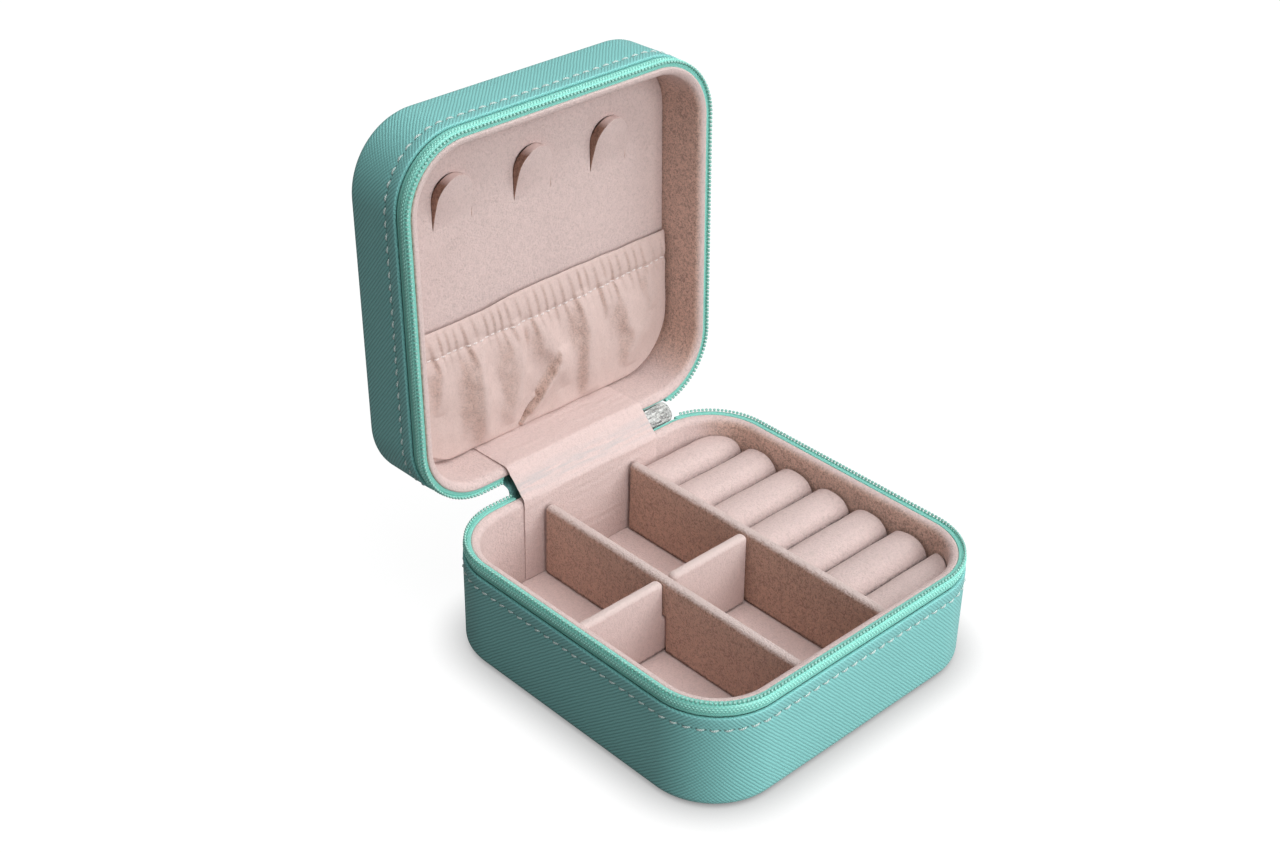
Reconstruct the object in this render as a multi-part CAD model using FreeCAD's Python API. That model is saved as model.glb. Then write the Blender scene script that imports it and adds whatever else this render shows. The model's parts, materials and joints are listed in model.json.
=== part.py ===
"""Small square zipped travel jewellery case, modelled open.

Frame: millimetres, origin at the centre of the base's underside, +Z up, +Y towards the hinge,
+X towards the ring rolls. The lid is drawn shut, with heights counted up from the parting plane,
and then swung open about the hinge line.
"""
import FreeCAD, Part
import math
import os

Vector = FreeCAD.Vector

# ---- driving dimensions -------------------------------------------------------------------
CASE_SIDE = 100.0            # square plan, over the leather
CORNER_R = 18.8              # plan corner radius of the leather
HINGE_Y = 51.66              # hinge line, just behind the back face
HINGE_Z = 31.26              # hinge line height; also the parting plane
OPEN_ANGLE = 91.4            # lid angle when open, where the inner hinge strip pulls tight

BASE_EDGE_Z = 26.75          # top edge of the base's leather
LID_EDGE = 4.66              # bottom edge of the lid's leather, above the parting plane
LID_TOP = 22.52              # outside of the lid, above the parting plane
OUTER_EDGE_R = 2.6           # rounding round the bottom of the base and the top of the lid

LEATHER = 1.0                # leather thickness
BOARD = 1.4                  # wall of the moulded core
CORE_PLATE = 1.6             # bottom of the base core, top of the lid core
LINING_FACE = 4.4            # inner lining face, in from the outline
LINING_BACK = LEATHER + BOARD
BASE_LIP_Z = 30.3            # top of the base's rounded lining lip
LID_LIP = 0.4                # lid's lining lip, above the parting plane
LIP_ROUND = 1.1

FLOOR_TOP_Z = 5.5            # velvet floor inside the base
DIVIDER_TOP_Z = 27.0
DIVIDER_THICK = 3.0
DIVIDER_ROUND = 1.2
RING_DIVIDER_X = 14.0
MIDDLE_DIVIDER_X = -16.0
CROSS_DIVIDER_Y = 1.0
LAP_CLEARANCE = 0.15
FIT_GAP = 0.05               # a pushed-in piece stops this far from its neighbour

ROLL_COUNT = 7
ROLL_PITCH = 13.15
ROLL_R = 6.5
ROLL_CENTRE_Z = 18.8
ROLL_END_X = 44.9
TRAY_TOP_Z = 12.2

PANEL_FRONT = 14.3           # velvet panel in the lid, above the parting plane
PANEL_THICK = 1.5
BACKING_GAP = 0.4

HOOK_SPACING = 25.7
HOOK_WIDTH = 12.0
HOOK_ROOT_Y = -20.0          # where the flap joins the panel
HOOK_TIP_Y = -33.0
HOOK_THICK = 1.3
HOOK_LIFT = 12.0             # degrees out of the panel at rest
HOOK_GAP = 0.35              # cut line round each flap
HOOK_ROOT_GAP = 0.8

POCKET_MOUTH_Y = 7.0
POCKET_FABRIC = 1.0
ELASTIC_WIDTH = 5.0
ELASTIC_THICK = 0.3

TAPE_END_X = 24.0            # tapes stop here beside the hinge
SLIDER_X = 24.6              # hinge-side end of the slider
SLIDER_LENGTH = 9.0
SLIDER_WIDTH = 6.0
SLIDER_PLATE = 0.9
SLIDER_CORNER_R = 1.4
SLIDER_CHANNEL = 2.0
TAPE_SLOT = 0.8
SLIDER_GAP = 0.4             # from the slider to where the open tapes start
CROWN_LENGTH = 5.8
CROWN_WIDTH = 1.8
CROWN_HEIGHT = 3.0
CROWN_WALL = 0.8
TAB_PIN_R = 0.5
TAB_PIN_HEIGHT = 1.2         # pin centre above the slider's outer plate
TAB_LENGTH = 19.0
TAB_WIDTH = 5.4
TAB_THICK = 1.2

HINGE_WIDTH = 47.0           # inner velvet hinge strip
HINGE_VELVET = 0.6
SPINE_WIDTH = 47.0           # outer leather spine
SPINE_THICK = 0.9
HINGE_STOP = 0.75            # both hinge strips end this far short of the hinge line
STITCH_DROP = 3.4            # stitch line, away from the leather's edge
THREAD = 0.5

# ---- derived ------------------------------------------------------------------------------
HALF = CASE_SIDE / 2
INNER_HALF = HALF - LINING_FACE
SHUT_TO_OPEN = -OPEN_ANGLE
HALF_OPEN = SHUT_TO_OPEN / 2
HINGE_POINT = Vector(0, HINGE_Y, HINGE_Z)
X_AXIS = Vector(1, 0, 0)
Z_AXIS = Vector(0, 0, 1)
STRAIGHT = HALF - CORNER_R   # half-length of each straight side


# ---- helpers ------------------------------------------------------------------------------
def outline(inset, z):
    """Closed rounded-square wire, inset from the case's outline."""
    half = HALF - inset
    radius = CORNER_R - inset
    flat = half - radius
    diagonal = flat + radius * math.sqrt(0.5)
    edges = []
    for turn in range(4):
        side = Part.LineSegment(Vector(half, -flat, z), Vector(half, flat, z)).toShape()
        start, middle, end = Vector(half, flat, z), Vector(diagonal, diagonal, z), Vector(flat, half, z)
        corner = Part.Arc(start, middle, end).toShape()
        for edge in (side, corner):
            edge.rotate(Vector(0, 0, 0), Z_AXIS, 90 * turn)
            edges.append(edge)
    return Part.Wire(edges)


def block(inset, z0, z1):
    """Solid rounded-square plate or block between two heights."""
    return Part.Face(outline(inset, z0)).extrude(Vector(0, 0, z1 - z0))


def section(points):
    """Wall section face on the +X side, from (inset, height) points; a triple is an arc's middle."""
    def place(point):
        return Vector(HALF - point[0], 0, point[1])

    edges = []
    index = 0
    count = len(points)
    while index < count:
        start = points[index]
        middle = points[(index + 1) % count]
        if len(middle) == 3:
            end = points[(index + 2) % count]
            edges.append(Part.Arc(place(start), place(middle), place(end)).toShape())
            index += 2
        else:
            edges.append(Part.LineSegment(place(start), place(middle)).toShape())
            index += 1
    return Part.Face(Part.Wire(edges))


def straight_run(face, start, end):
    """Carry a wall section along +Y between two places."""
    placed = face.copy()
    placed.translate(Vector(0, start, 0))
    return placed.extrude(Vector(0, end - start, 0))


def corner_run(face):
    """Carry a wall section round the +X +Y corner."""
    placed = face.copy()
    placed.translate(Vector(0, STRAIGHT, 0))
    return placed.revolve(Vector(STRAIGHT, STRAIGHT, 0), Z_AXIS, 90)


def rim(points):
    """Carry a wall section all round the case."""
    face = section(points)
    pieces = []
    for turn in range(4):
        for run in (corner_run(face), straight_run(face, -STRAIGHT, STRAIGHT)):
            run.rotate(Vector(0, 0, 0), Z_AXIS, 90 * turn)
            pieces.append(run)
    return pieces[0].fuse(pieces[1:]).removeSplitter()


def open_at_back(shape, x0, x1):
    """Cut a rim open between two X places on the hinge side."""
    return shape.cut(box(x0, x1, INNER_HALF - 3, HALF + 3, -1, HINGE_Z + LID_TOP + 1))


def zip_opening(shape):
    """Leave out the stretch of zip across the hinge, from the tape ends to the slider."""
    return open_at_back(shape, -TAPE_END_X, SLIDER_X + SLIDER_LENGTH + SLIDER_GAP)


def strip(points, width):
    """Carry a (Y, Z) outline across the hinge, centred on X = 0."""
    corners = [Vector(-width / 2, y, z) for y, z in points]
    face = Part.Face(Part.makePolygon(corners + corners[:1]))
    return face.extrude(Vector(width, 0, 0))


def edges_at(shape, z):
    """The edges that lie wholly at one height."""
    found = []
    for edge in shape.Edges:
        box = edge.BoundBox
        if abs(box.ZMin - z) < 1e-4 and abs(box.ZMax - z) < 1e-4:
            found.append(edge)
    return found


def top_edges_along(shape, z, direction):
    """The straight top edges that run along one axis."""
    found = []
    for edge in edges_at(shape, z):
        run = edge.Vertexes[-1].Point.sub(edge.Vertexes[0].Point)
        if abs(abs(run.normalize().dot(direction)) - 1) < 1e-4:
            found.append(edge)
    return found


def box(x0, x1, y0, y1, z0, z1):
    """Plain block between two corners."""
    return Part.makeBox(x1 - x0, y1 - y0, z1 - z0, Vector(x0, y0, z0))


def arch(centre_x, half_width, y_root, y_tip, z0, z1):
    """Round-ended tongue plate; its round end is at y_tip."""
    y_round = y_tip + half_width
    root_left = Vector(centre_x - half_width, y_root, z0)
    root_right = Vector(centre_x + half_width, y_root, z0)
    shoulder_left = Vector(centre_x - half_width, y_round, z0)
    shoulder_right = Vector(centre_x + half_width, y_round, z0)
    wire = Part.Wire([
        Part.LineSegment(root_left, root_right).toShape(),
        Part.LineSegment(root_right, shoulder_right).toShape(),
        Part.Arc(shoulder_right, Vector(centre_x, y_tip, z0), shoulder_left).toShape(),
        Part.LineSegment(shoulder_left, root_left).toShape(),
    ])
    return Part.Face(wire).extrude(Vector(0, 0, z1 - z0))


def swing_open(shape):
    """Turn a lid piece from shut to its open rest place."""
    shape.rotate(HINGE_POINT, X_AXIS, SHUT_TO_OPEN)
    return shape


def swing_half(shape):
    """Turn a slider piece; it sits between the two tapes, so it turns half as far as the lid."""
    shape.rotate(HINGE_POINT, X_AXIS, HALF_OPEN)
    return shape


# ---- base: shell, lining, zip --------------------------------------------------------------
def base_leather_shell():
    outside = block(0, 0, BASE_EDGE_Z)
    outside = outside.makeFillet(OUTER_EDGE_R, edges_at(outside, 0))
    inside = block(LEATHER, LEATHER, BASE_EDGE_Z + 1)
    inside = inside.makeFillet(OUTER_EDGE_R - LEATHER, edges_at(inside, LEATHER))
    return outside.cut(inside)


def base_core_box():
    outside = block(LEATHER, LEATHER, BASE_EDGE_Z - LEATHER)
    outside = outside.makeFillet(OUTER_EDGE_R - LEATHER, edges_at(outside, LEATHER))
    return outside.cut(block(LINING_BACK, LEATHER + CORE_PLATE, BASE_EDGE_Z))


def base_lining_wall():
    shoulder = BASE_LIP_Z - LIP_ROUND
    lip_back = 2.05
    return rim([
        (LINING_BACK, LEATHER + CORE_PLATE),
        (LINING_BACK, BASE_EDGE_Z - LEATHER),
        (lip_back, shoulder),
        ((lip_back + LINING_FACE) / 2, BASE_LIP_Z, "arc"),
        (LINING_FACE, shoulder),
        (LINING_FACE, LEATHER + CORE_PLATE),
    ])


def base_floor_pad():
    return block(LINING_FACE + FIT_GAP, LEATHER + CORE_PLATE, FLOOR_TOP_Z)


def base_zip_tape():
    foot = BASE_EDGE_Z - LEATHER
    free_edge = BASE_LIP_Z + 0.1
    return zip_opening(rim([
        (LEATHER, foot),
        (LEATHER, BASE_EDGE_Z),
        (1.35, free_edge),
        (1.9, free_edge),
        (1.65, foot),
    ]))


def base_zip_coil():
    return zip_opening(rim([
        (1.24, BASE_LIP_Z - 1.0),
        (0.2, BASE_LIP_Z - 1.0),
        (0.35, HINGE_Z - 0.11),
        (1.42, HINGE_Z - 0.11),
        (1.35, BASE_LIP_Z + 0.1),
    ]))


def thread_line(z):
    """Thread run lying on the leather, open behind the spine."""
    clear = SPINE_WIDTH / 2 + 1
    low = z - THREAD / 2
    high = z + THREAD / 2
    return open_at_back(rim([(0, low), (-THREAD / 2, low), (-THREAD / 2, high), (0, high)]), -clear, clear)


# ---- base: dividers and ring rolls ---------------------------------------------------------
def divider_along_y(centre_x):
    half = DIVIDER_THICK / 2
    front = -INNER_HALF + FIT_GAP
    back = INNER_HALF - HINGE_VELVET - FIT_GAP
    board = box(centre_x - half, centre_x + half, front, back, FLOOR_TOP_Z, DIVIDER_TOP_Z)
    return board.makeFillet(DIVIDER_ROUND, top_edges_along(board, DIVIDER_TOP_Z, Vector(0, 1, 0)))


def lap_middle_z():
    return (FLOOR_TOP_Z + DIVIDER_TOP_Z) / 2


def middle_divider():
    """Runs over the cross divider: its lap slot is open at the bottom."""
    half = DIVIDER_THICK / 2 + LAP_CLEARANCE
    slot = box(MIDDLE_DIVIDER_X - 5, MIDDLE_DIVIDER_X + 5, CROSS_DIVIDER_Y - half, CROSS_DIVIDER_Y + half,
               FLOOR_TOP_Z - 1, lap_middle_z() + LAP_CLEARANCE)
    return divider_along_y(MIDDLE_DIVIDER_X).cut(slot)


def cross_divider():
    """Runs from the side wall to the ring divider: its lap slot is open at the top."""
    half = DIVIDER_THICK / 2
    x_end = RING_DIVIDER_X - half - FIT_GAP
    board = box(-INNER_HALF + FIT_GAP, x_end, CROSS_DIVIDER_Y - half, CROSS_DIVIDER_Y + half,
                FLOOR_TOP_Z, DIVIDER_TOP_Z)
    board = board.makeFillet(DIVIDER_ROUND, top_edges_along(board, DIVIDER_TOP_Z, X_AXIS))
    slot_half = half + LAP_CLEARANCE
    slot = box(MIDDLE_DIVIDER_X - slot_half, MIDDLE_DIVIDER_X + slot_half,
               CROSS_DIVIDER_Y - 5, CROSS_DIVIDER_Y + 5, lap_middle_z(), DIVIDER_TOP_Z + 1)
    return board.cut(slot)


def ring_bay(x0, z0, z1):
    """The space between the ring divider, the lining wall and the hinge strip."""
    reach = INNER_HALF + 5
    bay = block(LINING_FACE + FIT_GAP, z0, z1).common(box(x0, reach, -reach, reach, z0, z1))
    strip_face = INNER_HALF - HINGE_VELVET - FIT_GAP
    return bay.cut(box(0, HINGE_WIDTH / 2 + FIT_GAP, strip_face, reach, z0, z1))


def ring_tray():
    x0 = RING_DIVIDER_X + DIVIDER_THICK / 2 + FIT_GAP
    return ring_bay(x0, FLOOR_TOP_Z, TRAY_TOP_Z)


def ring_roll(number):
    """One foam roll across the ring bay; number 1 is the one nearest the hinge."""
    y = ROLL_PITCH * ((ROLL_COUNT + 1) / 2 - number)
    x0 = RING_DIVIDER_X + DIVIDER_THICK / 2 + 0.1
    roll = Part.makeCylinder(ROLL_R, ROLL_END_X - x0, Vector(x0, y, ROLL_CENTRE_Z), X_AXIS)
    bay = ring_bay(x0 - 1, ROLL_CENTRE_Z - ROLL_R - 1, ROLL_CENTRE_Z + ROLL_R + 1)
    return roll.common(bay)


# ---- lid, drawn shut -----------------------------------------------------------------------
def lid_leather_shell():
    top = HINGE_Z + LID_TOP
    edge = HINGE_Z + LID_EDGE
    outside = block(0, edge, top)
    outside = outside.makeFillet(OUTER_EDGE_R, edges_at(outside, top))
    inside = block(LEATHER, edge - 1, top - LEATHER)
    inside = inside.makeFillet(OUTER_EDGE_R - LEATHER, edges_at(inside, top - LEATHER))
    return swing_open(outside.cut(inside))


def lid_core_box():
    top = HINGE_Z + LID_TOP - LEATHER
    edge = HINGE_Z + LID_EDGE + LEATHER
    outside = block(LEATHER, edge, top)
    outside = outside.makeFillet(OUTER_EDGE_R - LEATHER, edges_at(outside, top))
    return swing_open(outside.cut(block(LINING_BACK, edge - 1, top - CORE_PLATE)))


def lid_lining_wall():
    lip = HINGE_Z + LID_LIP
    shoulder = lip + LIP_ROUND
    lip_back = 1.95
    far = HINGE_Z + LID_TOP - LEATHER - CORE_PLATE
    return swing_open(rim([
        (LINING_BACK, far),
        (LINING_BACK, HINGE_Z + LID_EDGE + LEATHER),
        (lip_back, shoulder),
        ((lip_back + LINING_FACE) / 2, lip, "arc"),
        (LINING_FACE, shoulder),
        (LINING_FACE, far),
    ]))


def lid_zip_tape():
    foot = HINGE_Z + LID_EDGE + LEATHER
    free_edge = HINGE_Z + 0.86
    return swing_open(zip_opening(rim([
        (LEATHER, foot),
        (LEATHER, HINGE_Z + LID_EDGE),
        (1.25, free_edge),
        (1.8, free_edge),
        (1.6, foot),
    ])))


def lid_zip_coil():
    return swing_open(zip_opening(rim([
        (1.17, HINGE_Z + 1.96),
        (0.13, HINGE_Z + 1.96),
        (0.25, HINGE_Z + 0.11),
        (1.3, HINGE_Z + 0.11),
        (1.25, HINGE_Z + 0.86),
    ])))


def hook_centres():
    return {"left": -HOOK_SPACING, "centre": 0.0, "right": HOOK_SPACING}


def lid_panel():
    front = HINGE_Z + PANEL_FRONT
    panel = block(LINING_FACE + FIT_GAP, front, front + PANEL_THICK)
    for centre_x in hook_centres().values():
        half = HOOK_WIDTH / 2 + HOOK_GAP
        panel = panel.cut(arch(centre_x, half, HOOK_ROOT_Y + HOOK_ROOT_GAP, HOOK_TIP_Y - HOOK_GAP,
                               front - 1, front + PANEL_THICK + 1))
    return swing_open(panel)


def lid_backing():
    front = HINGE_Z + PANEL_FRONT + PANEL_THICK + BACKING_GAP
    return swing_open(block(LINING_FACE + FIT_GAP, front, HINGE_Z + LID_TOP - LEATHER - CORE_PLATE))


def hook_tab(centre_x):
    """Tongue cut from the panel, bent out of it at its root."""
    front = HINGE_Z + PANEL_FRONT
    tab = arch(centre_x, HOOK_WIDTH / 2, HOOK_ROOT_Y, HOOK_TIP_Y, front, front + HOOK_THICK)
    tab.rotate(Vector(0, HOOK_ROOT_Y, front + HOOK_THICK / 2), X_AXIS, HOOK_LIFT)
    return swing_open(tab)


def pocket():
    """Gathered pocket: a fabric sheet over the lower panel, open along its mouth."""
    wall_y = INNER_HALF - 0.1
    front = [(POCKET_MOUTH_Y, 12.8), (15.0, 12.4), (26.0, 10.8), (38.0, 10.2), (wall_y, 10.6)]
    outer = [(y, HINGE_Z + rise) for y, rise in front]
    inner = [(y, z + POCKET_FABRIC) for y, z in reversed(outer)]
    sheet = strip(outer + inner, 2 * INNER_HALF)
    return swing_open(sheet.common(block(LINING_FACE + 0.1, HINGE_Z, HINGE_Z + LID_TOP)))


def pocket_elastic():
    """Flat elastic inside the pocket's hem."""
    reach = INNER_HALF - 1
    y0 = POCKET_MOUTH_Y + 1.2
    z0 = HINGE_Z + PANEL_FRONT - ELASTIC_THICK - 0.1
    return swing_open(box(-reach, reach, y0, y0 + ELASTIC_WIDTH, z0, z0 + ELASTIC_THICK))


# ---- hinge ---------------------------------------------------------------------------------
def hinge_lining_base():
    face_y = INNER_HALF
    end_y = HINGE_Y - HINGE_STOP
    foot = FLOOR_TOP_Z + 0.1
    over = BASE_LIP_Z + FIT_GAP
    return strip([(face_y - HINGE_VELVET, foot), (face_y, foot), (face_y, over), (end_y, over),
                  (end_y, over + 0.45), (face_y - HINGE_VELVET, over + 0.45)], HINGE_WIDTH)


def hinge_lining_lid():
    face_y = INNER_HALF
    end_y = HINGE_Y - HINGE_STOP
    foot = HINGE_Z + 10.0
    over = HINGE_Z + LID_LIP - FIT_GAP
    return swing_open(strip([(face_y - HINGE_VELVET, foot), (face_y, foot), (face_y, over), (end_y, over),
                             (end_y, over - 0.35), (face_y - HINGE_VELVET, over - 0.35)], HINGE_WIDTH))


def hinge_spine_base():
    back = HALF + SPINE_THICK
    end_z = HINGE_Z - 0.6
    return strip([(HALF, 14.0), (back, 14.0), (back, BASE_EDGE_Z - 0.2), (HINGE_Y + 0.4, end_z),
                  (HINGE_Y - 0.4, end_z), (HALF, BASE_EDGE_Z + 0.2)], SPINE_WIDTH)


def hinge_spine_lid():
    back = HALF + SPINE_THICK
    edge = HINGE_Z + LID_EDGE
    end_z = HINGE_Z + 0.6
    far_z = HINGE_Z + 16.0
    return swing_open(strip([(HALF, far_z), (back, far_z), (back, edge + 0.2), (HINGE_Y + 0.4, end_z),
                             (HINGE_Y - 0.4, end_z), (HALF, edge - 0.2)], SPINE_WIDTH))


# ---- zip slider and pull, drawn shut -------------------------------------------------------
def slider_body():
    """Two plates joined by a post, with flanges that leave a slot for the tapes."""
    x1 = SLIDER_X + SLIDER_LENGTH
    half = SLIDER_WIDTH / 2
    inner_y = HINGE_Y - SLIDER_CHANNEL / 2 - SLIDER_PLATE
    outer_y = HINGE_Y + SLIDER_CHANNEL / 2
    plates = []
    for y in (inner_y, outer_y):
        plate = box(SLIDER_X, x1, y, y + SLIDER_PLATE, HINGE_Z - half, HINGE_Z + half)
        corners = [edge for edge in plate.Edges if abs(edge.BoundBox.YLength - SLIDER_PLATE) < 1e-4]
        plates.append(plate.makeFillet(SLIDER_CORNER_R, corners))
    post = box(x1 - 3.0, x1 - 1.2, inner_y, outer_y + SLIDER_PLATE, HINGE_Z - 0.8, HINGE_Z + 0.8)
    pieces = [post]
    flange = (SLIDER_CHANNEL - TAPE_SLOT) / 2
    for side in (-1, 1):
        z = HINGE_Z + side * (half - 0.35)
        for y in (inner_y + SLIDER_PLATE, outer_y - flange):
            pieces.append(box(SLIDER_X + 1.5, x1 - 3.2, y, y + flange, z - 0.35, z + 0.35))
    return swing_half(plates[0].fuse(plates[1:] + pieces).removeSplitter())


def crown_base_y():
    return HINGE_Y + SLIDER_CHANNEL / 2 + SLIDER_PLATE


def crown_centre_x():
    return SLIDER_X + SLIDER_LENGTH / 2


def slider_crown():
    """Bridge on the outer plate that holds the pull tab's pin."""
    y0 = crown_base_y()
    half_length = CROWN_LENGTH / 2
    half_width = CROWN_WIDTH / 2
    x = crown_centre_x()
    bridge = box(x - half_length, x + half_length, y0, y0 + CROWN_HEIGHT,
                 HINGE_Z - half_width, HINGE_Z + half_width)
    shoulders = [edge for edge in bridge.Edges if abs(edge.BoundBox.ZLength - CROWN_WIDTH) < 1e-4
                 and edge.BoundBox.YMin > y0 + 1]
    bridge = bridge.makeFillet(1.6, shoulders)
    opening = box(x - half_length + CROWN_WALL, x + half_length - CROWN_WALL, y0 - 1,
                  y0 + CROWN_HEIGHT - CROWN_WALL, HINGE_Z - 5, HINGE_Z + 5)
    return swing_half(bridge.cut(opening))


def pull_tab():
    """Cast tab: a pin under the crown, two arms beside it and a flat handle with an eye."""
    x = crown_centre_x()
    pin_y = crown_base_y() + TAB_PIN_HEIGHT
    arm_inner = CROWN_WIDTH / 2 + 0.35
    arm_width = 1.0
    arm_outer = arm_inner + arm_width
    half_thick = TAB_THICK / 2
    handle_y = pin_y + 3.9
    end_y = pin_y + TAB_LENGTH
    pieces = [Part.makeCylinder(TAB_PIN_R, 2 * arm_outer, Vector(x, pin_y, HINGE_Z - arm_outer), Z_AXIS)]
    for side in (-1, 1):
        low = HINGE_Z + min(side * arm_inner, side * arm_outer)
        pieces.append(box(x - TAB_PIN_R, x + TAB_PIN_R, pin_y, handle_y + 0.5, low, low + arm_width))
    handle = box(x - half_thick, x + half_thick, handle_y, end_y,
                 HINGE_Z - TAB_WIDTH / 2, HINGE_Z + TAB_WIDTH / 2)
    corners = [edge for edge in handle.Edges if abs(edge.BoundBox.XLength - TAB_THICK) < 1e-4]
    handle = handle.makeFillet(TAB_WIDTH * 0.36, corners)
    eye = Part.makeCylinder(1.1, 2 * TAB_THICK, Vector(x - TAB_THICK, end_y - TAB_WIDTH / 2, HINGE_Z), X_AXIS)
    return swing_half(pieces[0].fuse(pieces[1:] + [handle]).cut(eye).removeSplitter())


# ---- the case ------------------------------------------------------------------------------
def make_nodes():
    """Every separate piece of the case, by name."""
    nodes = {
        "base_leather_shell": base_leather_shell(),
        "base_core_box": base_core_box(),
        "base_lining_wall": base_lining_wall(),
        "base_floor_pad": base_floor_pad(),
        "base_zip_tape": base_zip_tape(),
        "base_zip_coil": base_zip_coil(),
        "base_stitching": thread_line(BASE_EDGE_Z - STITCH_DROP),
        "ring_divider": divider_along_y(RING_DIVIDER_X),
        "middle_divider": middle_divider(),
        "cross_divider": cross_divider(),
        "ring_tray": ring_tray(),
        "lid_leather_shell": lid_leather_shell(),
        "lid_core_box": lid_core_box(),
        "lid_lining_wall": lid_lining_wall(),
        "lid_panel": lid_panel(),
        "lid_backing": lid_backing(),
        "lid_zip_tape": lid_zip_tape(),
        "lid_zip_coil": lid_zip_coil(),
        "lid_stitching": swing_open(thread_line(HINGE_Z + LID_EDGE + STITCH_DROP)),
        "pocket": pocket(),
        "pocket_elastic": pocket_elastic(),
        "hinge_lining_base": hinge_lining_base(),
        "hinge_lining_lid": hinge_lining_lid(),
        "hinge_spine_base": hinge_spine_base(),
        "hinge_spine_lid": hinge_spine_lid(),
        "slider_body": slider_body(),
        "slider_crown": slider_crown(),
        "pull_tab": pull_tab(),
    }
    for number in range(1, ROLL_COUNT + 1):
        nodes["ring_roll_%d" % number] = ring_roll(number)
    for place, centre_x in hook_centres().items():
        nodes["hook_tab_" + place] = hook_tab(centre_x)
    return nodes


os.makedirs("parts", exist_ok=True)
for name, shape in make_nodes().items():
    if not shape.isValid() or len(shape.Solids) != 1:
        print("CHECK", name, "valid", shape.isValid(), "solids", len(shape.Solids))
    shape.exportStep("parts/" + name + ".step")
    print("%-20s %9.1f mm3" % (name, shape.Volume))
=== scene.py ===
import json
import math
import random

import bmesh
import bpy
from mathutils import Matrix, Vector, noise


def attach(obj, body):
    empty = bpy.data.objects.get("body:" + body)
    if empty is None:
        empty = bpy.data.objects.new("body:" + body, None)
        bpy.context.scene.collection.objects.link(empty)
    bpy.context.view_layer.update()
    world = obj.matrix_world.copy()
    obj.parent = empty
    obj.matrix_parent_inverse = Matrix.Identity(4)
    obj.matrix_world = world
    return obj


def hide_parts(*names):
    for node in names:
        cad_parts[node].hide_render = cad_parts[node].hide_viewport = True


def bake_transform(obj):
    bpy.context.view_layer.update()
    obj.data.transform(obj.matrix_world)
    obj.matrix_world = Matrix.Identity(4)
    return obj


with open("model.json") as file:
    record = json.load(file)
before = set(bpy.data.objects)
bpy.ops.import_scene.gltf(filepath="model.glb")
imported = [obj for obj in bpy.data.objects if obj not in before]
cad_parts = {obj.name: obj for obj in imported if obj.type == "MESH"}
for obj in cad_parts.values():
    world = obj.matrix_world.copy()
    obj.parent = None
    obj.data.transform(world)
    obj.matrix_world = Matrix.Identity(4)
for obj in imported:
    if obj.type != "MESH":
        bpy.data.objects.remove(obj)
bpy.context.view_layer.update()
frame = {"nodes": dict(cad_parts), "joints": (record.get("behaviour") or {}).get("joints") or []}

# Shapes are worked out in millimetres and become metres when their mesh is made.
MM = 0.001


# ---- places taken from the frame ------------------------------------------------------------
def joint(name):
    """The frame's entry for one joint."""
    return next(entry for entry in frame["joints"] if entry["name"] == name)


HINGE_Y = joint("lid_hinge")["pos_m"][1] / MM
HINGE_Z = joint("lid_hinge")["pos_m"][2] / MM
LID_OPEN = math.radians(joint("lid_hinge")["range_deg"][1])


def turned(point, angle, y=HINGE_Y, z=HINGE_Z):
    """A point turned about a line along X, the hinge line if no other is given."""
    dy, dz = point[1] - y, point[2] - z
    c, s = math.cos(angle), math.sin(angle)
    return Vector((point[0], y + c * dy - s * dz, z + s * dy + c * dz))


def opened(point):
    """A lid point drawn shut, moved to where it is with the lid open."""
    return turned(point, -LID_OPEN)


def half_opened(point):
    """A slider point drawn shut, moved to its rest place half way between base and lid."""
    return turned(point, -LID_OPEN / 2)


def as_drawn(point):
    return Vector(point)


def node_box(node, swing=0.0):
    """Lowest and highest corner of a CAD node, with the lid swung shut by an angle if one is given."""
    points = [turned(v.co / MM, swing) for v in frame["nodes"][node].data.vertices]
    low = Vector([min(p[i] for p in points) for i in range(3)])
    high = Vector([max(p[i] for p in points) for i in range(3)])
    return low, high


base_low, base_high = node_box("base_leather_shell")
lid_low, lid_high = node_box("lid_leather_shell", LID_OPEN)
lip_low, lip_high = node_box("lid_lining_wall", LID_OPEN)
panel_low, panel_high = node_box("lid_panel", LID_OPEN)
pocket_low, pocket_high = node_box("pocket", LID_OPEN)
ring_low, ring_high = node_box("ring_divider")
middle_low, middle_high = node_box("middle_divider")
cross_low, cross_high = node_box("cross_divider")
slider_low, slider_high = node_box("slider_body", LID_OPEN / 2)
crown_low, crown_high = node_box("slider_crown", LID_OPEN / 2)
tab_low, tab_high = node_box("pull_tab", LID_OPEN / 2)
strip_low, strip_high = node_box("hinge_lining_base")
spine_low, spine_high = node_box("hinge_spine_base")

HALF = base_high.x
BASE_EDGE = base_high.z
LID_EDGE = lid_low.z
LID_TOP = lid_high.z
LINING_TOP = node_box("base_lining_wall")[1].z
LID_LIP = lip_low.z
FLOOR_TOP = node_box("base_floor_pad")[1].z
INNER = -node_box("base_floor_pad")[0].x
PANEL_FRONT = panel_low.z

CORNER_R = 18.8          # plan radius of the leather's corners
STRAIGHT = HALF - CORNER_R
SIDE_RUN = 2 * STRAIGHT
QUARTER = SIDE_RUN + CORNER_R * math.pi / 2
ALL_ROUND = 4 * QUARTER
ZIP_START = 24.0         # left tape ends, from the middle of the hinge side
ZIP_STOP = ALL_ROUND - 34.1   # the tapes run into the slider here

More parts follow.
